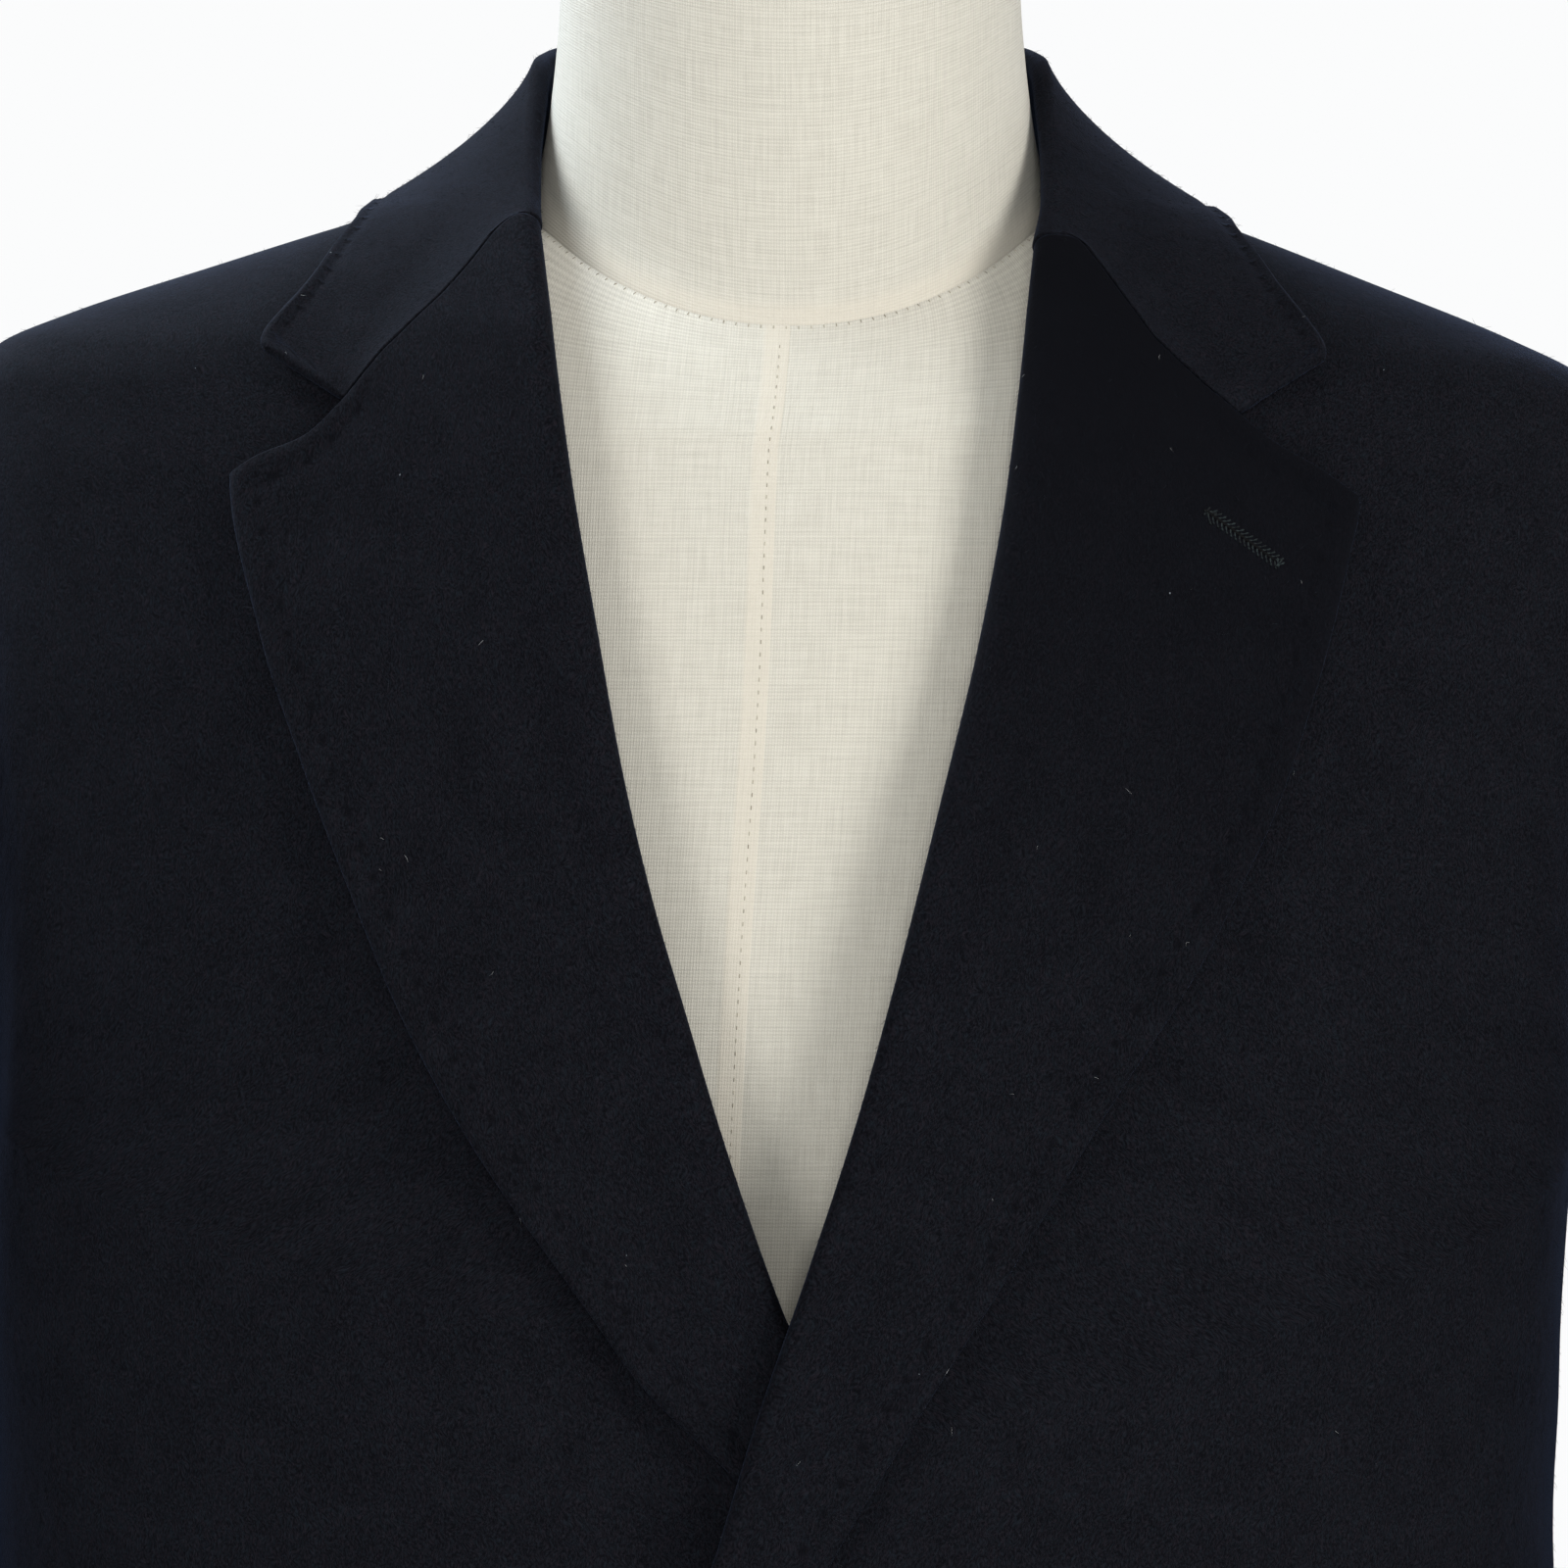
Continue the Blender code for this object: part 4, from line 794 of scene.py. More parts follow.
LAP = 0.025
LAPEL_WALL = 0.0028
FRONT_COLUMNS = np.linspace(0, 1, 68)
NECK_SIDE = (0.078, -0.0001)
NECK_FRONT = (0.0755, -0.030)
UNDERLAP = Table("""
    height inward
    0.440  0.0038
    0.990  0.0038
    1.050  0.0096
    1.150  0.0096
    1.240  0.0045
    1.340  0.0010
    1.420  0.0000
""")
UNDERLAP_FROM = -0.085
UNDERLAP_FULL = -0.030
ROLL_RADIUS_LOW = 0.0024
ROLL_RADIUS_TOP = 0.0042
LAPEL_LINES = {
    1: Table("""
        height    roll    edge
        1.030  -0.0250 -0.0155
        1.060  -0.0240  0.0025
        1.080  -0.0183  0.0135
        1.110  -0.0093  0.0317
        1.150   0.0044  0.0571
        1.190   0.0174  0.0814
        1.230   0.0284  0.1070
        1.250   0.0335  0.1172
        1.270   0.0385  0.1266
        1.310   0.0484  0.1400
        1.338   0.0541  0.1475
        1.354   0.0568  0.1510
        1.418   0.0650  0.1510
    """),
    -1: Table("""
        height    roll    edge
        1.068  -0.0250 -0.0165
        1.080  -0.0205 -0.0010
        1.100  -0.0135  0.0190
        1.120  -0.0065  0.0390
        1.140   0.0025  0.0532
        1.185   0.0180  0.0845
        1.215   0.0270  0.1012
        1.245   0.0360  0.1141
        1.279   0.0440  0.1275
        1.315   0.0505  0.1400
        1.357   0.0578  0.1490
        1.424   0.0670  0.1490
    """),
}
LAPEL_TOPS = {
    1: [(0.1185, 1.3755), (0.128, 1.368), (0.139, 1.362), (0.151, 1.354)],
    -1: [(0.1186, 1.378), (0.129, 1.368), (0.142, 1.362), (0.149, 1.357)],
}
GORGES = {
    1: [(0.0746, 1.417), (0.080, 1.413), (0.1026, 1.3896), (0.1185, 1.3755)],
    -1: [(0.076, 1.421), (0.0835, 1.414), (0.106, 1.394), (0.1186, 1.378)],
}
COLLAR_CORNERS = {1: (0.1425, 1.392), -1: (0.141, 1.392)}
BREAK_ROW = 13
NECK_ROW = 25
BREAK_DROP = 0.015


def route(points, samples=240):
    """Smooth curve through a few points, sampled evenly along its length."""
    points = np.asarray(points, dtype=float)
    along = np.r_[0, np.cumsum(np.linalg.norm(np.diff(points, axis=0), axis=1))]
    fine = np.linspace(0, along[-1], 4 * samples)
    dense = join(*(smooth_curve(along, axis, fine) for axis in points.T))
    return walk(dense, np.linspace(0, 1, samples))


def coat_front(x, height):
    """Point of the front's surface at a place across and a height."""
    centre, half_width, depth = coat_section(height, False)
    share = np.clip(np.abs(x - centre) / half_width, 0, 0.9999)
    return join(x, -depth * (1 - share ** SQUARENESS) ** (1 / SQUARENESS), height)


def settle(side, points, lift=0):
    """Lift points off the coat's surface, less what the right front gives way to the left."""
    inward = 0
    if side < 0:
        reach = ease((points[..., 0] - UNDERLAP_FROM) / (UNDERLAP_FULL - UNDERLAP_FROM))
        inward = UNDERLAP.read("inward", points[..., 2]) * reach
    return points + ((lift - inward) * np.ones(points.shape[:-1]))[..., None] * coat_normal(points)


def lie(side, x, height, lift, share=1.0):
    """Points lifted off the front that are still seen at x and height from the front: the place that
    is lifted is moved back by what the lift adds, as far as the share given."""
    raised = settle(side, coat_front(x, height), lift)
    across, up = (raised[..., 0] - x) * share, (raised[..., 2] - height) * share
    return settle(side, coat_front(x - across, height - up), lift)


def roll_radius(height):
    """The lapel's roll is tight at the break and soft at the neck."""
    return mix(ROLL_RADIUS_LOW, ROLL_RADIUS_TOP, ease((height - 1.06) / 0.32))


def roll_frame(side, fractions):
    """Roll line's points on the coat, the way out of the coat, and the way back over the front."""
    line = LAPEL_LINES[side]
    heights = np.linspace(line.along[0], line.along[-1], 400)
    whole = coat_front(side * line.read("roll", heights), heights)
    points, ahead, behind = (walk(whole, np.clip(fractions + step, 0, 1)) for step in (0, 0.004, -0.004))
    out = coat_normal(points)
    return points, out, side * unit(np.cross(unit(ahead - behind), out))


def panel_roll(side, fractions):
    """Where the front panel ends and its lapel's fold begins."""
    points, _, over = roll_frame(side, fractions)
    return points + (roll_radius(points[:, 2]) + LAPEL_WALL / 2)[:, None] * over


def neckline_front(side):
    """Front neckline from the top of the roll line to the shoulder seam."""
    start = panel_roll(side, np.array([1.0]))[0]
    rest = route([(side * start[0], start[1]), NECK_FRONT, NECK_SIDE], 80)
    return np.concatenate([[start], coat_top(side * rest[1:, 0], rest[1:, 1])])


def front_panel(side):
    """Front from its side seam and armhole to its edge, then the roll line, then the neckline."""
    heights = np.linspace(HEM, LAPEL_LINES[side].along[0] - BREAK_DROP, 120)
    low = walk(coat_front(-side * LAP, heights), stretch(0, BREAK_ROW - 1))
    start = panel_roll(side, np.array([0.0]))[0]
    bridge = mix(low[-1], start, stretch(BREAK_ROW - 1, BREAK_ROW)[:, None])
    roll = panel_roll(side, stretch(BREAK_ROW, NECK_ROW))
    high = walk(neckline_front(side), stretch(NECK_ROW, TOP_ROW))
    inner = np.concatenate([low, bridge, roll, high])
    sheet = settle(side, lay_between(side_line(side, True, 15), inner, FRONT_COLUMNS))
    shell(SIDES[side] + "_front", trim(sheet, PANEL_TRIM), PANEL_WALL, side,
          (SEAM_RIM, EDGE_RIM, EDGE_RIM, SEAM_RIM), body_creases)


for side in SIDES:
    front_panel(side)


# Lapels: the facing rolls out over the front at the roll line and lies back on it as far as its
# outer edge. It is a little thicker than the front, with the front's edge turned in under it.

LAPEL_RIM = 0.0024
LAPEL_EDGE_LIFT = 0.0040
CORNER_LIFT = {1: 0.0078, -1: 0.0018}
EDGE_PROUD = {1: 0.0060, -1: 0.0014}
LOWER_PROUD = {1: 0.0028, -1: 0.0044}
GORGE_SHARE = 0.632
GORGE_TRIM = 0.00005
GORGE_RIM = 0.0005
LAPEL_STITCHES = (0.0082, 0.0102, GORGE_SHARE, ["end"])
LAPEL_ROWS = np.linspace(0, 1, 220)
FOLD_TURNS = np.radians(np.linspace(0, 180, 15))[:, None]
LAPEL_SHARES = np.linspace(0, 1, 54)[1:]


def laid_flat(vectors, normals):
    """Vectors without what stands along the normals."""
    return vectors - normals * (vectors * normals).sum(-1, keepdims=True)


def settled_normal(side, points, step=0.002):
    """Unit vector out of the front as it lies after settling, from its slopes across and up."""
    x, height = points[..., 0], points[..., 2]
    across = settle(side, coat_front(x + step, height)) - settle(side, coat_front(x - step, height))
    up = settle(side, coat_front(x, height + step)) - settle(side, coat_front(x, height - step))
    return unit(np.cross(across, up))


def gorge_line(side, share):
    """Lapel's top row in (across, height): the gorge from the neck to the notch, then the top edge."""
    start = panel_roll(side, np.array([1.0]))[0]
    gorge, top = route([(side * start[0], start[2])] + GORGES[side]), route(LAPEL_TOPS[side])
    near = walk(gorge, np.clip(share / GORGE_SHARE, 0, 1))
    far = walk(top, np.clip((share - GORGE_SHARE) / (1 - GORGE_SHARE), 0, 1))
    return np.where((share <= GORGE_SHARE)[:, None], near, far)


def lapel_lift(side, height, share, row):
    """How far the lapel's turned layer stands off the front, from the fold to its edge. Its edge
    stands off more in the upper half, and most at its corner, at about 0.9 of the rows."""
    soft = 2 * roll_radius(height)
    corner = CORNER_LIFT[side] * bell(row - 0.90, 0.13) * share ** 3
    edge = EDGE_PROUD[side] * bell(row - 0.76, 0.20) + LOWER_PROUD[side] * bell(row - 0.42, 0.28)
    return soft + (LAPEL_EDGE_LIFT - soft) * ease(share) ** 0.8 + corner + edge * share ** 2.2


def gorge_points(side, shares):
    """The gorge seam and the lapel's top edge where they lie, off the front by the lapel's lift."""
    flat = gorge_line(side, shares)
    lift = lapel_lift(side, LAPEL_LINES[side].along[-1], shares, 1.0)
    return lie(side, side * flat[:, 0], flat[:, 1], lift, ease(shares / 0.35))


def lapel(side, cloth):
    """Lapel from its fold to its outer edge, from the break up to the gorge and the notch."""
    over = roll_frame(side, LAPEL_ROWS)[2]
    start = panel_roll(side, LAPEL_ROWS)
    out = settled_normal(side, start)
    over = unit(laid_flat(over, out))
    radius = roll_radius(start[:, 2])[:, None, None]
    arc = -out[:, None] * np.cos(FOLD_TURNS) - over[:, None] * np.sin(FOLD_TURNS)
    fold = (settle(side, start) + out * radius[:, 0])[:, None] + radius * arc

    line = LAPEL_LINES[side]
    heights = np.linspace(line.along[0], LAPEL_TOPS[side][-1][1], 400)
    edge = walk(join(line.read("edge", heights), heights), LAPEL_ROWS)
    begin = join(side * start[:, 0], start[:, 2])
    flat = mix(begin[:, None], edge[:, None], LAPEL_SHARES[:, None])
    flat = flat + (LAPEL_ROWS ** 3)[:, None, None] * (gorge_line(side, LAPEL_SHARES) - flat[-1])
    lift = lapel_lift(side, start[:, 2][:, None], LAPEL_SHARES[None], LAPEL_ROWS[:, None])
    layer = lie(side, side * flat[..., 0], flat[..., 1], lift, ease(LAPEL_SHARES / 0.35)[None])
    sheet = trim(np.concatenate([fold, layer], axis=1), (SEAM_TRIM, 0, 0, GORGE_TRIM))
    shell(SIDES[side] + "_lapel", sheet, LAPEL_WALL, -side, (SEAM_RIM, LAPEL_RIM, EDGE_RIM, GORGE_RIM),
          stitches=LAPEL_STITCHES, material=cloth)


# The left lapel carries painted shade: its nap's tips fade towards the gorge, so its upper part is darker.
lapel(1, wool("navy_wool_painted_shade", 0.04))
lapel(-1, navy_wool)


# Collar: one piece of the same wool. Its stand rises from the neckline, folds at the top and falls as
# the leaf, which lies over the shoulders and is sewn to each lapel along the gorge.

COLLAR_WALL = 0.0026
COLLAR_RIM = 0.0026
COLLAR_FOLD = Table("""
    share across   depth height
    0.00  0.0000  0.0675 1.4900
    0.18  0.0325  0.0607 1.4885
    0.36  0.0560  0.0410 1.4845
    0.55  0.0692  0.0060 1.4760
    0.65  0.0698 -0.0090 1.4655
    0.78  0.0704 -0.0280 1.4495
    0.90  0.0694 -0.0450 1.4350
""")
COLLAR_EDGE = Table("""
    share angle height
    0.00  180.0 1.4235
    0.20  150.0 1.4255
    0.42  115.0 1.4290
    0.58   90.0 1.4310
    0.75   66.0 1.4255
    0.88   49.0 1.4120
""")
SHOULDER_SHARE = 0.55
COLLAR_FOLD_RADIUS = 0.0022
COLLAR_LIFT = 0.0030
COLLAR_CORNER_LIFT = 0.0085
COLLAR_SAG = 0.0050
COLLAR_NOTCH = 0.70
COLLAR_EDGE_IN = {1: 0.0028, -1: 0.0060}
COLLAR_EASING = 160
COLLAR_STITCHES = (0.0041, 0.0067, 0.80, ["start", "end"])
COLLAR_SHARES = np.linspace(0, 1, 131)
LEAF_SHARES = np.linspace(0, 1, 48)[1:]
STAND_COLUMNS = 19
LEAF_BELOW = 1.455


def collar_front(side, shares):
    """The collar's front end where it lies: the gorge seam as far as the notch, then its short end."""
    notch = gorge_points(side, np.array([GORGE_SHARE]))[0]
    x, height = COLLAR_CORNERS[side]
    corner = lie(side, side * np.array([x]), np.array([height]), COLLAR_CORNER_LIFT)[0]
    near = gorge_points(side, np.clip(shares / COLLAR_NOTCH, 0, 1) * GORGE_SHARE)
    far = np.clip((shares - COLLAR_NOTCH) / (1 - COLLAR_NOTCH), 0, 1)[:, None]
    return np.where((shares <= COLLAR_NOTCH)[:, None], near, mix(notch, corner, far))


def lay_off(points, clearance, share=None):
    """Points moved straight in or out until they stand the clearance off the coat. With a share, they
    only move out, and as far as it says."""
    for _ in range(4):
        off, way = off_coat(points)
        move = clearance - off if share is None else np.maximum(clearance - off, 0) * share
        points = points + move[..., None] * way
    return points


def collar_half(side, shares):
    """Rows of the collar from its foot to its edge, one column for each share from back to front."""
    own = np.array([side, 1, 1])
    points, out, over = (array[0] for array in roll_frame(side, np.array([1.0])))
    top_radius = roll_radius(points[2])
    front_apex = (points + over * (LAPEL_WALL / 2 - 0.0006) + out * top_radius) * own
    keys = np.r_[COLLAR_FOLD.along, 1.0]
    columns = [np.r_[COLLAR_FOLD[name], end] for name, end in zip(("across", "depth", "height"), front_apex)]

    def apex(at):
        return join(*(smooth_curve(keys, column, np.clip(at, 0, 1)) for column in columns))

    along = unit(apex(shares + 0.01) - apex(shares - 0.01))
    along[0] = (1, 0, 0)
    back, front = neckline_back(side) * own, neckline_front(side)[::-1] * own
    foot = np.where((shares <= SHOULDER_SHARE)[:, None], walk(back, np.clip(shares / SHOULDER_SHARE, 0, 1)),
                    walk(front, np.clip((shares - SHOULDER_SHARE) / (1 - SHOULDER_SHARE), 0, 1)))
    out_of_coat = coat_normal(foot)
    inward = unit(np.cross(unit(np.gradient(foot, axis=0)), out_of_coat))

    near_front = ease((shares - 0.80) / 0.20)[:, None]
    crest = apex(shares)
    rise = unit(mix(unit(crest - foot), -over * own, near_front))
    rise = unit(laid_flat(rise, along))
    away = np.cross(rise, along)
    radius = mix(COLLAR_FOLD_RADIUS, top_radius, near_front)
    middle = crest - rise * radius
    first_way = unit(middle - away * radius - foot + 0.003 * rise)
    lean = np.abs((first_way * out_of_coat).sum(1))[:, None]
    foot = foot + inward * (0.0003 + COLLAR_WALL / 2 * lean)

    turns = np.radians(np.linspace(0, 180, 25))[None, :, None]
    ring = middle[:, None] + radius[:, None] * (np.sin(turns) * rise[:, None] - np.cos(turns) * away[:, None])
    lower = []
    for start, arc in zip(foot, ring):
        path = np.concatenate([[start], arc])
        bend = max(np.linalg.norm(arc[0] - start) / reaches(path, 0)[-1], 0.25)
        lower.append(walk(path, np.r_[np.linspace(0, bend, 10), np.linspace(bend, 1, 14)[1:]]))
    lower = np.array(lower)

    x, height = COLLAR_CORNERS[side]
    angle = side * coat_angle(coat_front(side * np.array([x]), np.array([height])))[0]
    keys = np.r_[COLLAR_EDGE.along, 1.0]
    angle = smooth_curve(keys, np.r_[COLLAR_EDGE["angle"], angle], shares)
    edge = coat_round(np.minimum(angle, 179.99),
                      smooth_curve(keys, np.r_[COLLAR_EDGE["height"], height], shares))
    edge = edge + COLLAR_LIFT * coat_normal(edge)
    drawn_in = COLLAR_EDGE_IN[side] * ease((shares - 0.45) / 0.25) * ease((1 - shares) / 0.08)
    edge = lay_off(edge + drawn_in[:, None] * unit(crest - edge), COLLAR_LIFT)

    end = collar_front(side, LEAF_SHARES) * own
    edge = edge + (ease((shares - 0.70) / 0.30) ** 2)[:, None] * (end[-1] - edge[-1])
    leaf = mix(lower[:, -1][:, None], edge[:, None], LEAF_SHARES[:, None])
    leaf = leaf + (ease((shares - 0.62) / 0.38) ** 1.3)[:, None, None] * (end - leaf[-1])
    hollow = COLLAR_SAG * (LEAF_SHARES * (1 - LEAF_SHARES) ** 2 * 27 / 4)[:, None]
    leaf = leaf - bell(shares - 0.60, 0.16)[:, None, None] * hollow * unit(away + 1.2 * rise)[:, None]
    return np.concatenate([lower, leaf], axis=1) * own


def relaxed(sheet, first, rounds):
    """The sheet from column `first` on, each inner point drawn to the middle of its four neighbours,
    and kept clear of the coat's shoulders."""
    for count in range(rounds):
        middle = (sheet[:-2, 1:-1] + sheet[2:, 1:-1] + sheet[1:-1, :-2] + sheet[1:-1, 2:]) / 4
        sheet[1:-1, first:-1] = middle[:, first - 1:]
        if count % 20 == 19:
            inner = np.arange(sheet.shape[1]) >= first + 8
            sheet = lay_off(sheet, COLLAR_LIFT, (sheet[..., 2] < LEAF_BELOW) * inner)
    return sheet


left, right = (collar_half(side, COLLAR_SHARES) for side in SIDES)
sheet = np.concatenate([right[:0:-1], (left[:1] + right[:1]) / 2, left[1:]])
sheet = trim(relaxed(sheet, STAND_COLUMNS, COLLAR_EASING), (0, 0, GORGE_TRIM, GORGE_TRIM))
collar = shell("collar", sheet, COLLAR_WALL, 1, (SEAM_RIM, COLLAR_RIM, GORGE_RIM, GORGE_RIM),
               stitches=COLLAR_STITCHES, material=wool("navy_wool_of_the_collar", shaped=True))


# Sleeves: a top and an under piece sewn into a tube, set into the armhole with the head eased in.
# They hang just clear of the coat, with the elbow's soft bend and an open cuff.

SLEEVE = Table("""
    ring under_x under_z outer_x outer_z middle_y half_y armhole
    0     0.2178  1.1900  0.2285  1.3850   0.0110 0.0585 1.00
    1     0.2200  1.1915  0.2440  1.3795   0.0095 0.0610 0.70
    2     0.2222  1.1912  0.2612  1.3600   0.0080 0.0642 0.40
    3     0.2245  1.1900  0.2765  1.3280   0.0060 0.0682 0.15
    4     0.2268  1.1880  0.2875  1.2860   0.0045 0.0715 0.00
    5     0.2288  1.1850  0.2945  1.2380   0.0030 0.0735 0.00
    6     0.2302  1.1780  0.2990  1.1920   0.0020 0.0755 0.00
    7     0.2300  1.1500  0.3010  1.1480   0.0030 0.0765 0.00
    8     0.2255  1.1000  0.3030  1.1000   0.0050 0.0765 0.00
    9     0.2250  1.0500  0.3035  1.0500   0.0070 0.0755 0.00
    10    0.2270  0.9900  0.3035  0.9900   0.0065 0.0725 0.00
    11    0.2305  0.9150  0.3050  0.9150   0.0020 0.0675 0.00
    12    0.2370  0.8400  0.3085  0.8400  -0.0060 0.0620 0.00
    13    0.2420  0.7750  0.3115  0.7750  -0.0125 0.0585 0.00
""")
RING_STEPS = 8
SLEEVE_RINGS = np.linspace(0, 13, 13 * RING_STEPS + 1)[:, None]
TOP_SEAM = 108
SLEEVE_TURNS = {"top": np.linspace(-TOP_SEAM, TOP_SEAM, 73),
                "under": np.linspace(TOP_SEAM, 360 - TOP_SEAM, 49)}


def sleeve_creases(sheet, borders):
    """Soft folds where the elbow bends and below the sleeve's head, on the side away from the coat."""
    x, y, height = np.abs(sheet[..., 0]), sheet[..., 1], sheet[..., 2]
    elbow = bell(height - 1.03, 0.08) * np.sin((height + 0.22 * y) / 0.034 * 2 * math.pi)
    drape = (bell(y + 0.30 * (height - 1.20), 0.016)
             * ease((1.33 - height) / 0.1) * ease((height - 1.08) / 0.1))
    return (0.0010 * elbow + 0.0016 * drape) * ease((x - 0.262) / 0.03)


def sleeve_piece(side, part, turns):
    """Top or under sleeve: turn 0 is its outer line, 90 its front, 180 the underarm. Its head fans out
    of the armhole, drawn in so that it clears the panels' edges."""
    ring = {name: SLEEVE.read(name, SLEEVE_RINGS) for name in SLEEVE}
    outward = (1 + np.cos(np.radians(turns))[None]) / 2
    x, z = (mix(ring["under_" + axis], ring["outer_" + axis], outward) for axis in "xz")
    sheet = join(x, ring["middle_y"] - ring["half_y"] * np.sin(np.radians(turns))[None], z)
    opening = coat_round(*armhole(turns))
    sheet = sheet + ring["armhole"][..., None] * (opening - sheet[0])

    middle = coat_round(np.array([93.0]), np.array([(UNDERARM + SHOULDER_POINT) / 2]))
    facing = coat_normal(opening)
    inward = unit(laid_flat(middle - opening, facing))
    lean = np.abs((unit(sheet[RING_STEPS] - sheet[0]) * facing).sum(1))[:, None]
    draw = np.clip(1 - SLEEVE_RINGS / 2, 0, 1)[..., None] * inward * (0.00033 + PANEL_WALL / 2 * lean)
    sheet = trim((sheet + draw) * np.array([side, 1, 1]), (SEAM_TRIM, SEAM_TRIM, 0, 0))
    shell(f"{SIDES[side]}_{part}_sleeve", sheet, PANEL_WALL, -side, (SEAM_RIM, SEAM_RIM, SEAM_RIM, EDGE_RIM),
          sleeve_creases)


for side in SIDES:
    for part, turns in SLEEVE_TURNS.items():
        sleeve_piece(side, part, turns)


# Buttons: three dark horn ones, 28 mm across, turned with a raised rim and a dished middle, with
# four holes. They sit on the left front's centre line, which the coat's lapels leave bare.

BUTTON_HEIGHTS = (1.000, 0.885, 0.770)
BUTTON_SEAT = 0.0030
BUTTON_PROFILE = Table("""
    row  radius    rise
    0   0.00000  0.0010
    2   0.00800  0.0010
    3   0.00980  0.0014
    4   0.01120  0.0021
    5   0.01260  0.0022
    6   0.01370  0.0016
    7   0.01400  0.0006
    8   0.01370 -0.0006
    9   0.01250 -0.0014
    10  0.01050 -0.0016
    12  0.00000 -0.0016
""")
HOLE_PLACE = 0.0026
HOLE_RADIUS = 0.0010
HOLE_DEPTH = 0.0016
HORN_DARK = (0.012, 0.012, 0.016)
HORN_PALE = (0.07, 0.06, 0.055)


def horn():
    """Polished dark horn with pale streaks that bend through it."""
    material, tree = new_material("button_horn", Roughness=0.28)
    place = mapping(tree, node(tree, "TexCoord", output="Object"), (60, 60, 260))
    streaks = noise(tree, place, detail=5.0, Distortion=1.2)
    return finish(material, blend(tree, remap(tree, streaks, 0.45, 0.8), HORN_DARK, HORN_PALE))


def button(number, seat, facing, right, top):
    """Turned disc with a cap at the middle of each side, its holes sunk where the four places are."""
    rows, turns = np.linspace(0.02, 11.98, 60)[:, None], np.linspace(0, 2 * math.pi, 73)[None]
    radius, rise = BUTTON_PROFILE.read("radius", rows), BUTTON_PROFILE.read("rise", rows)
    x, y = radius * np.cos(turns), radius * np.sin(turns)
    near = np.hypot(np.abs(x) - HOLE_PLACE, np.abs(y) - HOLE_PLACE)
    rise = rise - HOLE_DEPTH * ease((HOLE_RADIUS - near) / 0.0004 + 0.5) * (rows < 4)
    points = seat + x[..., None] * right + y[..., None] * top + rise[..., None] * facing
    index = ring_index(points.shape[0], points.shape[1] - 1)
    made = skin(f"button_{number}_horn", points[:, :-1].reshape(-1, 3), around(index, True),
                around(join(x, y), True), button_horn, "button_horn", [index[0, :-1], index[-1, :0:-1]])
    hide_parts(f"button_{number}")


button_horn = horn()
button_frames = {}
for number, height in enumerate(BUTTON_HEIGHTS, 1):
    seat = coat_round(np.array([0.0]), np.array([height]))
    facing = coat_normal(seat)[0]
    right = unit(np.cross((0, 0, 1.0), facing))
    button_frames[number] = seat[0] + BUTTON_SEAT * facing, facing, right, np.cross(facing, right)
    button(number, *button_frames[number])


# Handwork: the lapel's buttonhole, worked over its edges in two rows of slanted thread round its slit,
# where a dark thread lies as painted shade of the opening; small threads sunk in the pick stitches of
# lapels and collar, the running stitches of the form's cover, and the thread that holds each button.
# Every stitch lies on the piece it is sewn in.

THREAD_SIDES = 6
THREAD_RADII = np.array([0.6, 1, 1, 1, 0.6])
BUTTONHOLE = ((0.1096, 1.3478), (0.1280, 1.3343))
BUTTONHOLE_HALF = 0.0017
HOLE_STITCHES = 16
HOLE_THREAD = 0.00029
SLIT_RADII = 0.0004 * np.r_[0.2, 0.8, np.ones(20), 0.8, 0.2]
PICK_THREAD = 0.00017
FORM_STITCH = 0.0034
FORM_THREAD = 0.00013
FORM_STITCHES_FROM = 1.0
FRONT_STITCHES_IN = -0.0027
NECK_STITCHES_IN = 0.0008
STITCH_HALF = 0.0006
BUTTON_THREAD = 0.00030


def threads(name, paths, radii, facing, material, slot, sides=THREAD_SIDES):
    """Thin closed threads, all with as many points: paths is (thread, point, 3), with a radius for
    each point and a direction that lies across each thread. UV is (a value for the thread, share)."""
    count, steps = paths.shape[:2]
    along = unit(np.gradient(paths, axis=1))
    across = unit(np.cross(along, facing[:, None] + np.zeros_like(paths)))
    up = np.cross(across, along)
    turns = np.arange(sides) / sides * 2 * math.pi
    ring = np.cos(turns)[:, None] * up[:, :, None] + np.sin(turns)[:, None] * across[:, :, None]
    vertices = (paths[:, :, None] + np.asarray(radii)[:, None, None] * ring).reshape(-1, 3)
    index = ring_index(count, steps, sides)
    corners = (index[:, :-1, :-1], index[:, :-1, 1:], index[:, 1:, 1:], index[:, 1:, :-1])
    quads = np.stack(corners, -1).reshape(-1, 4)
    value = np.random.default_rng(count).random(count)[:, None, None, None]
    place = np.linspace(0, 1, steps)[:-1][None, :, None, None]
    uv = join(value, place, np.zeros((1, 1, sides, 4)))[..., :2].reshape(-1, 4, 2)
    caps = np.concatenate([index[:, 0, -2::-1], index[:, -1, :-1]])
    return skin(name, vertices, quads, uv, material, slot, caps.tolist())


def thread_material(name, dark, light, roughness, sheen):
    """Spun thread: its colour changes a little from stitch to stitch and over its twist."""
    material, tree = new_material(name, Roughness=roughness, Sheen_Weight=sheen, Specular_IOR_Level=0.15)
    value, along = node(tree, "SeparateXYZ", {0: node(tree, "UVMap", uv_map="cloth")}, slice(0, 2))
    twist = maths(tree, "SINE", maths(tree, "MULTIPLY", along, 30.0))
    return finish(material, blend(tree, maths(tree, "MULTIPLY_ADD", twist, 0.2, value), dark, light))


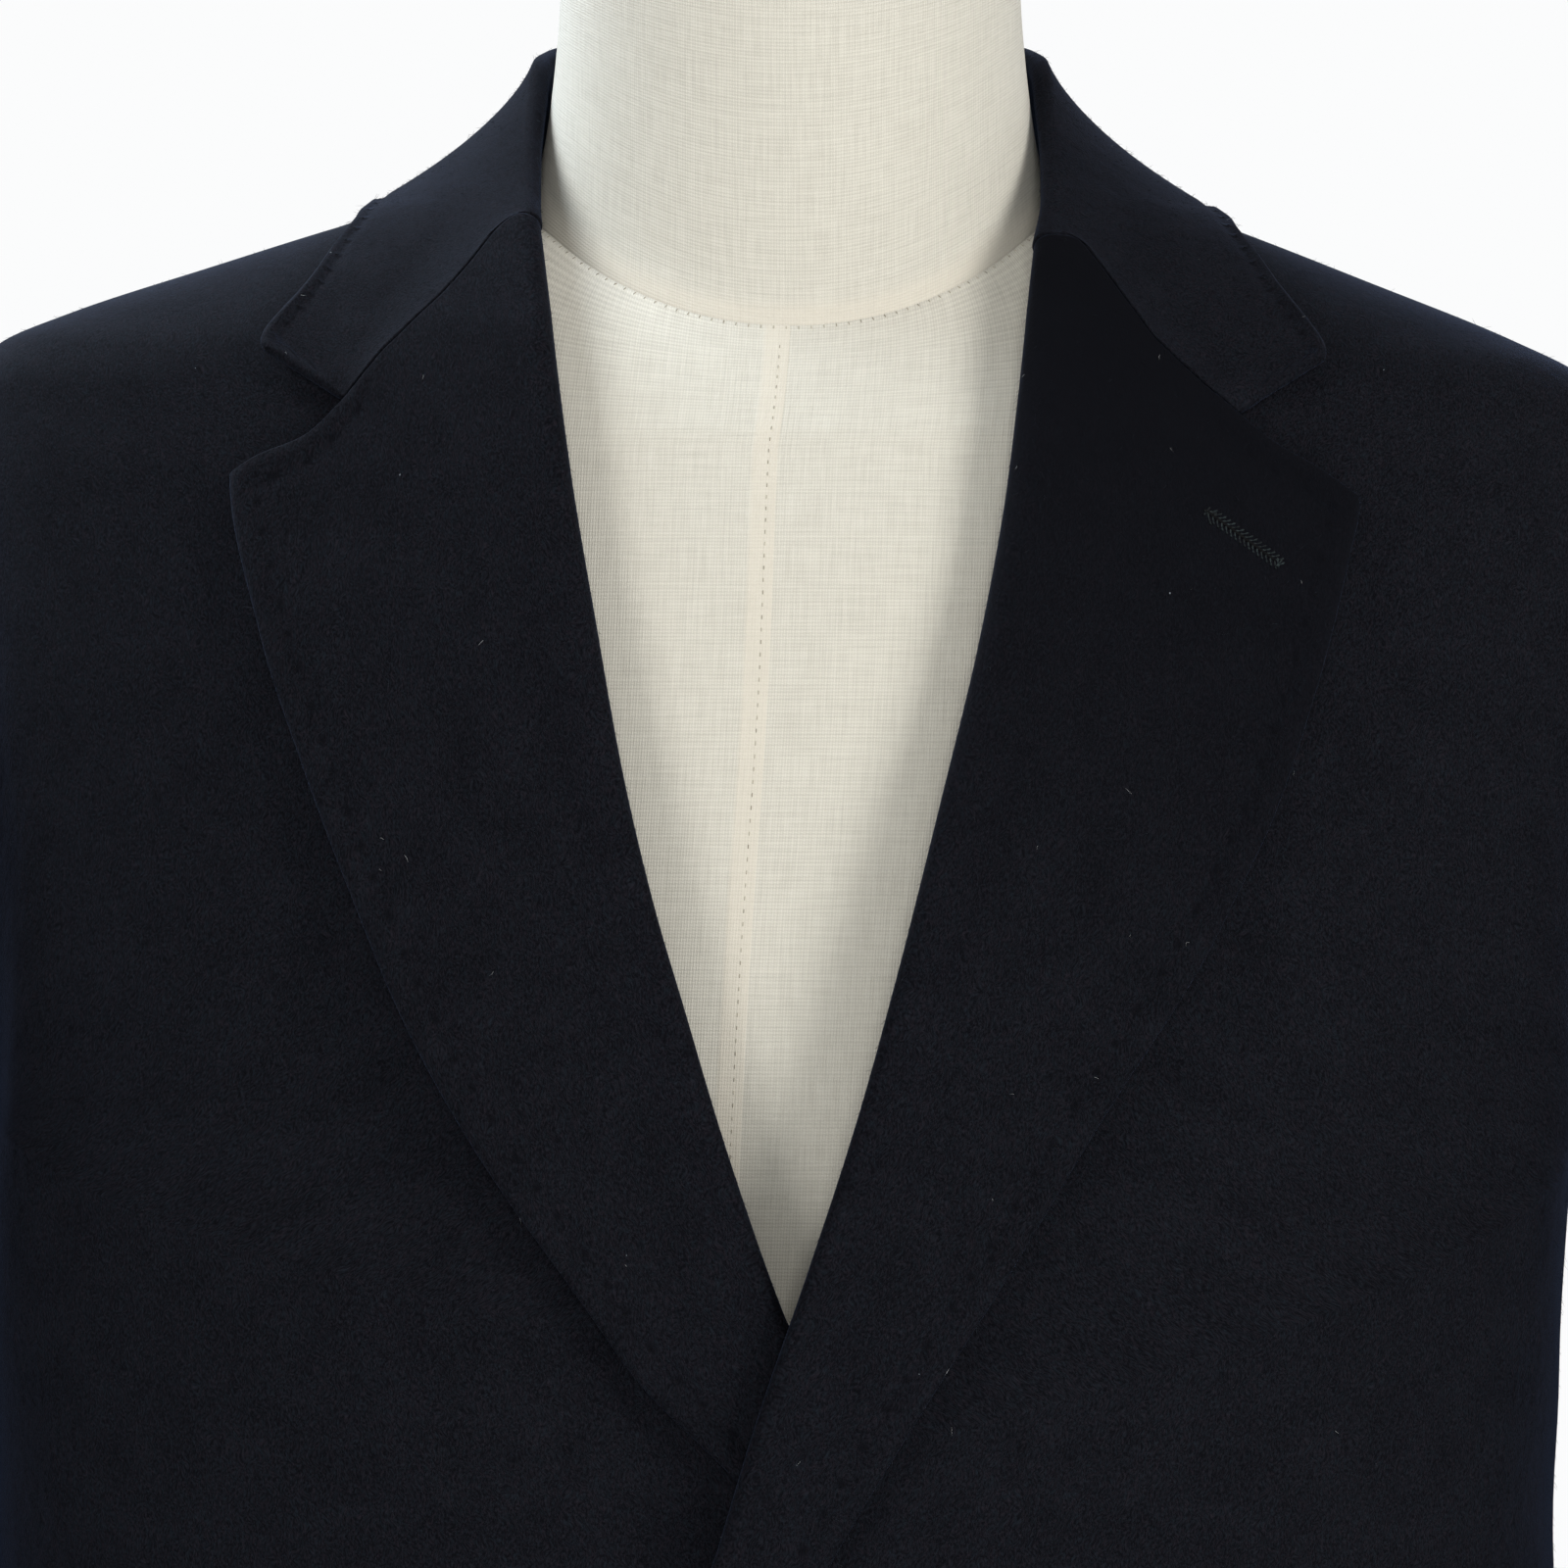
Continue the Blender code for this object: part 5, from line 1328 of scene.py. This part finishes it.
def touch(made, spots):
    """Points of a piece that are seen at each (across, height) from the front, and the ways out."""
    tree = BVHTree.FromPolygons([tuple(corner.co) for corner in made.data.vertices],
                                [tuple(face.vertices) for face in made.data.polygons])
    hits = [tree.ray_cast((x, -1.0, z), (0, 1, 0)) for x, z in spots]
    return np.array([hit[0] for hit in hits]), np.array([hit[1] for hit in hits])


def stitches(name, spots, normals, ends, radius, material, slot="navy_wool", swell=1.0):
    """Short threads over spots: each dives into the cloth at both ends and rises between."""
    paths = spots[:, None] + np.array([-1, -0.55, 0, 0.55, 1])[:, None] * ends[:, None]
    rise = np.array([-1.0, 0.45, 0.75, 0.45, -1.0])[:, None] * (swell * radius)
    return threads(name, paths + rise * normals[:, None], radius * THREAD_RADII, normals, material, slot)


hole_silk = thread_material("buttonhole_silk", (0.004, 0.006, 0.007), (0.019, 0.030, 0.031), 0.6, 0.05)
# This thread is coloured darker than the wool as painted shade, so its stitches and the slit read as shaded
# pits.
coat_thread_with_painted_shade = thread_material("coat_thread_with_painted_shade", (0.0006, 0.0006, 0.001), (0.0016, 0.0016, 0.0024), 0.85, 0.0)
linen_thread = thread_material("linen_thread", (0.20, 0.18, 0.13), (0.46, 0.42, 0.33), 0.8, 0.0)
button_silk = thread_material("button_silk", (0.004, 0.004, 0.007), (0.010, 0.010, 0.014), 0.5, 0.2)

left_lapel = bpy.data.objects["left_lapel_cloth"]
first, last = np.array(BUTTONHOLE)
way = unit(last - first)
beside = np.array([-way[1], way[0]])
middles = first + (last - first) * (0.06 + 0.94 * np.linspace(0, 1, HOLE_STITCHES)[:, None])
places = np.concatenate([middles + row * 0.60 * BUTTONHOLE_HALF * beside for row in (1, -1)])
leans = np.repeat([row * 0.50 * BUTTONHOLE_HALF * beside + 0.00075 * way for row in (1, -1)],
                  HOLE_STITCHES, axis=0)
bar_ends = [(first + 0.0004 * beside + 0.0009 * way, 0.0016 * unit(way + 0.5 * beside)),
            (first - 0.0012 * beside + 0.0016 * way, 0.0019 * unit(way - 0.9 * beside)),
            (first, 0.0015 * beside),
            (last + 0.0005 * way, 0.0013 * beside),
            (last + 0.0009 * way, 0.0010 * (beside + 0.6 * way)),
            (last + 0.0002 * way, 0.0011 * (beside - 0.8 * way))]
bar_places, bar_leans = zip(*bar_ends)
spots, normals = touch(left_lapel, np.concatenate([places, bar_places]))
leans = np.concatenate([leans, bar_leans])
leans = laid_flat(join(leans[:, 0], 0, leans[:, 1]), normals)
worked = stitches("buttonhole_stitches", spots, normals, leans, HOLE_THREAD, hole_silk, swell=1.2)
# Painted shade: a dark thread along the slit stands for its shadowed opening.
spots, normals = touch(left_lapel, first + (last - first) * np.linspace(-0.05, 0.97, 24)[:, None])
slit_painted_shade = threads("buttonhole_slit_painted_shade", (spots - 0.00012 * normals)[None], SLIT_RADII, normals[:1], coat_thread_with_painted_shade,
               "navy_wool")


def across_at(grid, distance, at):
    """Place on each row of a grid where the row's distance has the value given."""
    return np.array([along_line(at, far, line) for line, far in zip(grid, distance)])


pick_threads = {}
for name, (inset, spacing, _, _) in (("left_lapel", LAPEL_STITCHES), ("right_lapel", LAPEL_STITCHES),
                                     ("collar", COLLAR_STITCHES)):
    outer, out = (grid[:, ::-1] for grid in faces[name])
    along = reaches(outer[:, :1], 0)[:, 0]
    count = stitch_count(along, spacing)
    at = np.interp(np.arange(1, int(count[-1])), count, along)
    spots, normals = (along_line(at, along, across_at(grid, reaches(outer, 1), inset))
                      for grid in (outer, out))
    normals = unit(normals)
    ends = STITCH_HALF * unit(np.cross(normals, np.gradient(spots, axis=0)))
    pick_threads[name] = stitches(name + "_pick_stitches", spots - 0.0002 * normals, normals, ends,
                                  PICK_THREAD, coat_thread_with_painted_shade)


def running(name, grid, out, distance, inset, turned):
    """Small stitches of linen thread where a grid's distance has a value, turned across that or not."""
    line, ways = across_at(grid, distance, inset), across_at(out, distance, inset)
    total = reaches(line[:, None], 0)[-1, 0]
    share = np.arange(0.5, int(total / FORM_STITCH)) * FORM_STITCH / total
    spots, normals = walk(line, share), unit(walk(ways, share))
    ends = STITCH_HALF * unit(np.gradient(spots, axis=0))
    ends = np.cross(normals, ends) if turned else ends
    stitches(name, spots, normals, ends, FORM_THREAD, linen_thread, "cream_linen")


upper = np.s_[int(np.searchsorted(torso[:, FORM_COLUMNS // 2, 2], FORM_STITCHES_FROM)):-6]
running("form_front_stitches", torso[upper], torso_out[upper], from_seam[upper], FRONT_STITCHES_IN, False)
upright = (grid[::-1].swapaxes(0, 1) for grid in (torso, torso_out, below_neck))
running("form_neck_stitches", *upright, NECK_STITCHES_IN, True)

for number, (seat, facing, right, top) in button_frames.items():
    up = np.array([-1.25, -0.8, 0, 0.8, 1.25]) * HOLE_PLACE
    across = np.array([-HOLE_PLACE - 0.0003, -HOLE_PLACE + 0.0003, HOLE_PLACE - 0.0003, HOLE_PLACE + 0.0003])
    rise = 0.0010 + np.array([-0.0012, 0.0001, 0.0004, 0.0001, -0.0012])
    paths = seat + across[:, None, None] * right + up[:, None] * top + rise[:, None] * facing
    threads(f"button_{number}_thread", paths, BUTTON_THREAD * np.ones(5), np.tile(facing, (4, 1)),
            button_silk, "button_horn")


# Nap: the fibres that brushing has raised and that the light picks out one by one. They lie down the
# cloth, most of them close to it, and stand off it more at the edges of the lapels and the collar.

BODY_FIBRES = 8500
LAPEL_FIBRES = 8500
EDGE_FIBRES = 1000
FIBRE_RADII = 0.000042 * np.array([1.0, 0.85, 0.25])
SEEN_FROM = 1.00
SEEN_BEFORE = 0.02
UNSEEN_SHARE = 0.10
FIBRE_NAVY = ((0.0030, 0.0034, 0.0055), (0.0115, 0.0130, 0.0185))
FIBRE_GREY = (0.026, 0.031, 0.040)
FIBRE_WHITE = (0.42, 0.43, 0.43)


def fibre_wool():
    """Single wool fibres: most of them near the cloth's own navy, some greyer, and a rare white one."""
    material, tree = new_material("raised_fibres", Roughness=0.85, Specular_IOR_Level=0.1)
    value = node(tree, "SeparateXYZ", {0: node(tree, "UVMap", uv_map="cloth")})
    colour = blend(tree, remap(tree, value, 0.0, 0.90), *FIBRE_NAVY)
    colour = blend(tree, remap(tree, value, 0.90, 0.97), colour, FIBRE_GREY)
    return finish(material, blend(tree, maths(tree, "GREATER_THAN", value, 0.9965), colour, FIBRE_WHITE))


def raised(name, pieces, count, edges, seed):
    """Fibres at random places of the pieces' faces, by area, and as many as `edges` at their borders."""
    random = np.random.default_rng(seed)
    places, areas = [], []
    for outer, out in (faces[piece] for piece in pieces):
        corner = outer[:-1, :-1]
        area = np.linalg.norm(np.cross(outer[:-1, 1:] - corner, outer[1:, :-1] - corner), axis=-1)
        seen = (corner[..., 1] < SEEN_BEFORE) & (corner[..., 2] > SEEN_FROM)
        areas.append((area * np.where(seen, 1.0, UNSEEN_SHARE)).ravel())
    total = np.array([area.sum() for area in areas])
    for piece, area, share in zip(pieces, areas, total / total.sum()):
        outer, out = faces[piece]
        grid = np.concatenate([outer, out, np.gradient(outer, axis=0)], axis=-1)
        rows, columns = outer.shape[0] - 1, outer.shape[1] - 1
        picked = random.choice(rows * columns, int(count * share), p=area / area.sum())
        rims = random.integers(0, rows, int(edges * share))
        row, column = np.r_[picked // columns, rims], np.r_[picked % columns, np.full(len(rims), columns - 2)]
        u, v = random.random((2, len(row), 1))
        places.append(mix(mix(grid[row, column], grid[row, column + 1], u),
                          mix(grid[row + 1, column], grid[row + 1, column + 1], u), v))
    spots, normals, downs = np.split(np.concatenate(places), 3, axis=1)
    normals = unit(normals)
    downs = unit(laid_flat(downs, normals))
    downs = downs * -np.sign(downs[:, 2:] + 1e-9)
    number = len(spots)
    sway = random.normal(0, 0.7, (number, 1))
    lean = np.radians(random.uniform(4, 34, (number, 1)))
    side = np.cross(normals, downs)
    lie_way = downs * np.cos(sway) + side * np.sin(sway)
    bend = side * random.normal(0, 0.35, (number, 1))
    length = random.uniform(0.0010, 0.0030, (number, 1))
    start = spots - 0.00012 * normals
    half = start + length * 0.5 * (lie_way * np.cos(lean) + normals * np.sin(lean))
    tip = half + length * 0.5 * (unit(lie_way + bend) * np.cos(1.5 * lean) + normals * np.sin(0.8 * lean))
    threads(name, np.stack([start, half, tip], 1), FIBRE_RADII, normals, raised_wool, "navy_wool", 3)


raised_wool = fibre_wool()
turned_pieces = ["left_lapel", "right_lapel", "collar"]
raised("raised_fibres_of_the_body", [name for name in faces if name not in turned_pieces], BODY_FIBRES, 0, 11)
raised("raised_fibres_of_the_lapels", turned_pieces, LAPEL_FIBRES, EDGE_FIBRES, 12)


# Cuts: each cloth piece's flat size as it shows, width and length, with its area, and how it is held.
# The form's two parts are stuffed hard under their covers.

CUTS = {
    "back": ((0.335, 1.150), 0.301, "hung", ["form_torso_cover"]),
    "front": ((0.352, 1.078), 0.297, "hung", ["form_torso_cover"]),
    "lapel": ((0.135, 0.427), 0.0295, "folded", ["{side}_front_cloth"]),
    "top_sleeve": ((0.310, 0.645), 0.127, "hung", ["{side}_front_cloth", "{side}_back_cloth"]),
    "under_sleeve": ((0.199, 0.515), 0.0706, "hung", ["{side}_front_cloth", "{side}_back_cloth"]),
}
for side in SIDES.values():
    for part, (flat, area, held, carriers) in CUTS.items():
        extra = [pick_threads[f"{side}_lapel"]] if part == "lapel" else []
        extra += [worked, slit_painted_shade] if (side, part) == ("left", "lapel") else []
        carriers = [carrier.format(side=side) for carrier in carriers]


# Studio: pale floor, a soft white world, and four soft lights. The camera looks level along +Y at
# the lapels, from as far off and as close in as the photograph was taken.

CAMERA = (-0.0018, -2.13, 1.276)
LENS = 176.5
FLOOR_REACH = 8
FLOOR_COLOURS = ((0.86, 0.86, 0.85), (0.84, 0.84, 0.83))
LIGHTS = (
    ("right", (2.1, -1.6, 2.3), (0, 0, 1.25), 49, (1.0, 0.98, 0.955)),
    ("left", (-2.0, -1.9, 1.9), (0, 0, 1.25), 26, (1.0, 0.98, 0.965)),
    ("front", (0.2, -3.6, 1.9), (0, 0, 1.25), 27, (1.0, 0.985, 0.96)),
    ("top", (-1.1, 0.6, 2.9), (0, 0, 1.35), 62, (0.78, 0.89, 1.0)),
)


def add(name, data):
    """Object in the scene."""
    made = bpy.data.objects.new(name, data)
    bpy.context.scene.collection.objects.link(made)
    return made


for name, place, aim, power, colour in LIGHTS:
    lamp = bpy.data.lights.new(name, "AREA")
    lamp.shape = "SQUARE"
    lamp.size = 1.0
    lamp.energy = power
    lamp.color = colour
    made = add(name, lamp)
    made.location = place
    forward = unit(np.subtract(place, aim))
    right = unit(np.cross((0, 0, 1.0), forward))
    turn = join(right, np.cross(forward, right), forward)
    made.rotation_euler = Matrix(turn.tolist()).to_euler()

floor_mesh = bpy.data.meshes.new("floor")
corners = [(x * FLOOR_REACH, y * FLOOR_REACH, 0) for x, y in ((-1, -1), (1, -1), (1, 1), (-1, 1))]
floor_mesh.from_pydata(corners, [], [(0, 1, 2, 3)])
floor_material, tree = new_material("pale_floor", Roughness=0.7)
mottle = noise(tree, node(tree, "TexCoord", output="Object"), 2.0)
floor_mesh.materials.append(finish(floor_material, blend(tree, mottle, *FLOOR_COLOURS)))
add("floor", floor_mesh)

world = bpy.data.worlds.new("studio")
world.use_nodes = True
tree = world.node_tree
toward = node(tree, "SeparateXYZ", {0: node(tree, "TexCoord", output="Generated")}, 1)
bright = remap(tree, toward, 0.0, 0.6, 0.20, 0.75)
glow = node(tree, "Background", {"Color": (0.95, 0.975, 1, 1), "Strength": bright})
seen = tree.nodes["Background"]
seen.inputs["Color"].default_value = (0.965, 0.97, 0.975, 1)
by_camera = node(tree, "LightPath", output="Is Camera Ray")
mixed = node(tree, "MixShader", {0: by_camera, 1: glow, 2: seen.outputs[0]})
tree.links.new(mixed, tree.nodes["World Output"].inputs["Surface"])
bpy.context.scene.world = world
bpy.context.scene.view_settings.view_transform = "Standard"

lens = bpy.data.cameras.new("camera")
lens.lens = LENS
lens.sensor_width = 36
camera = add("camera", lens)
camera.location = CAMERA
camera.rotation_euler = (math.pi / 2, 0, 0)
bpy.context.scene.camera = camera

bpy.context.view_layer.update()
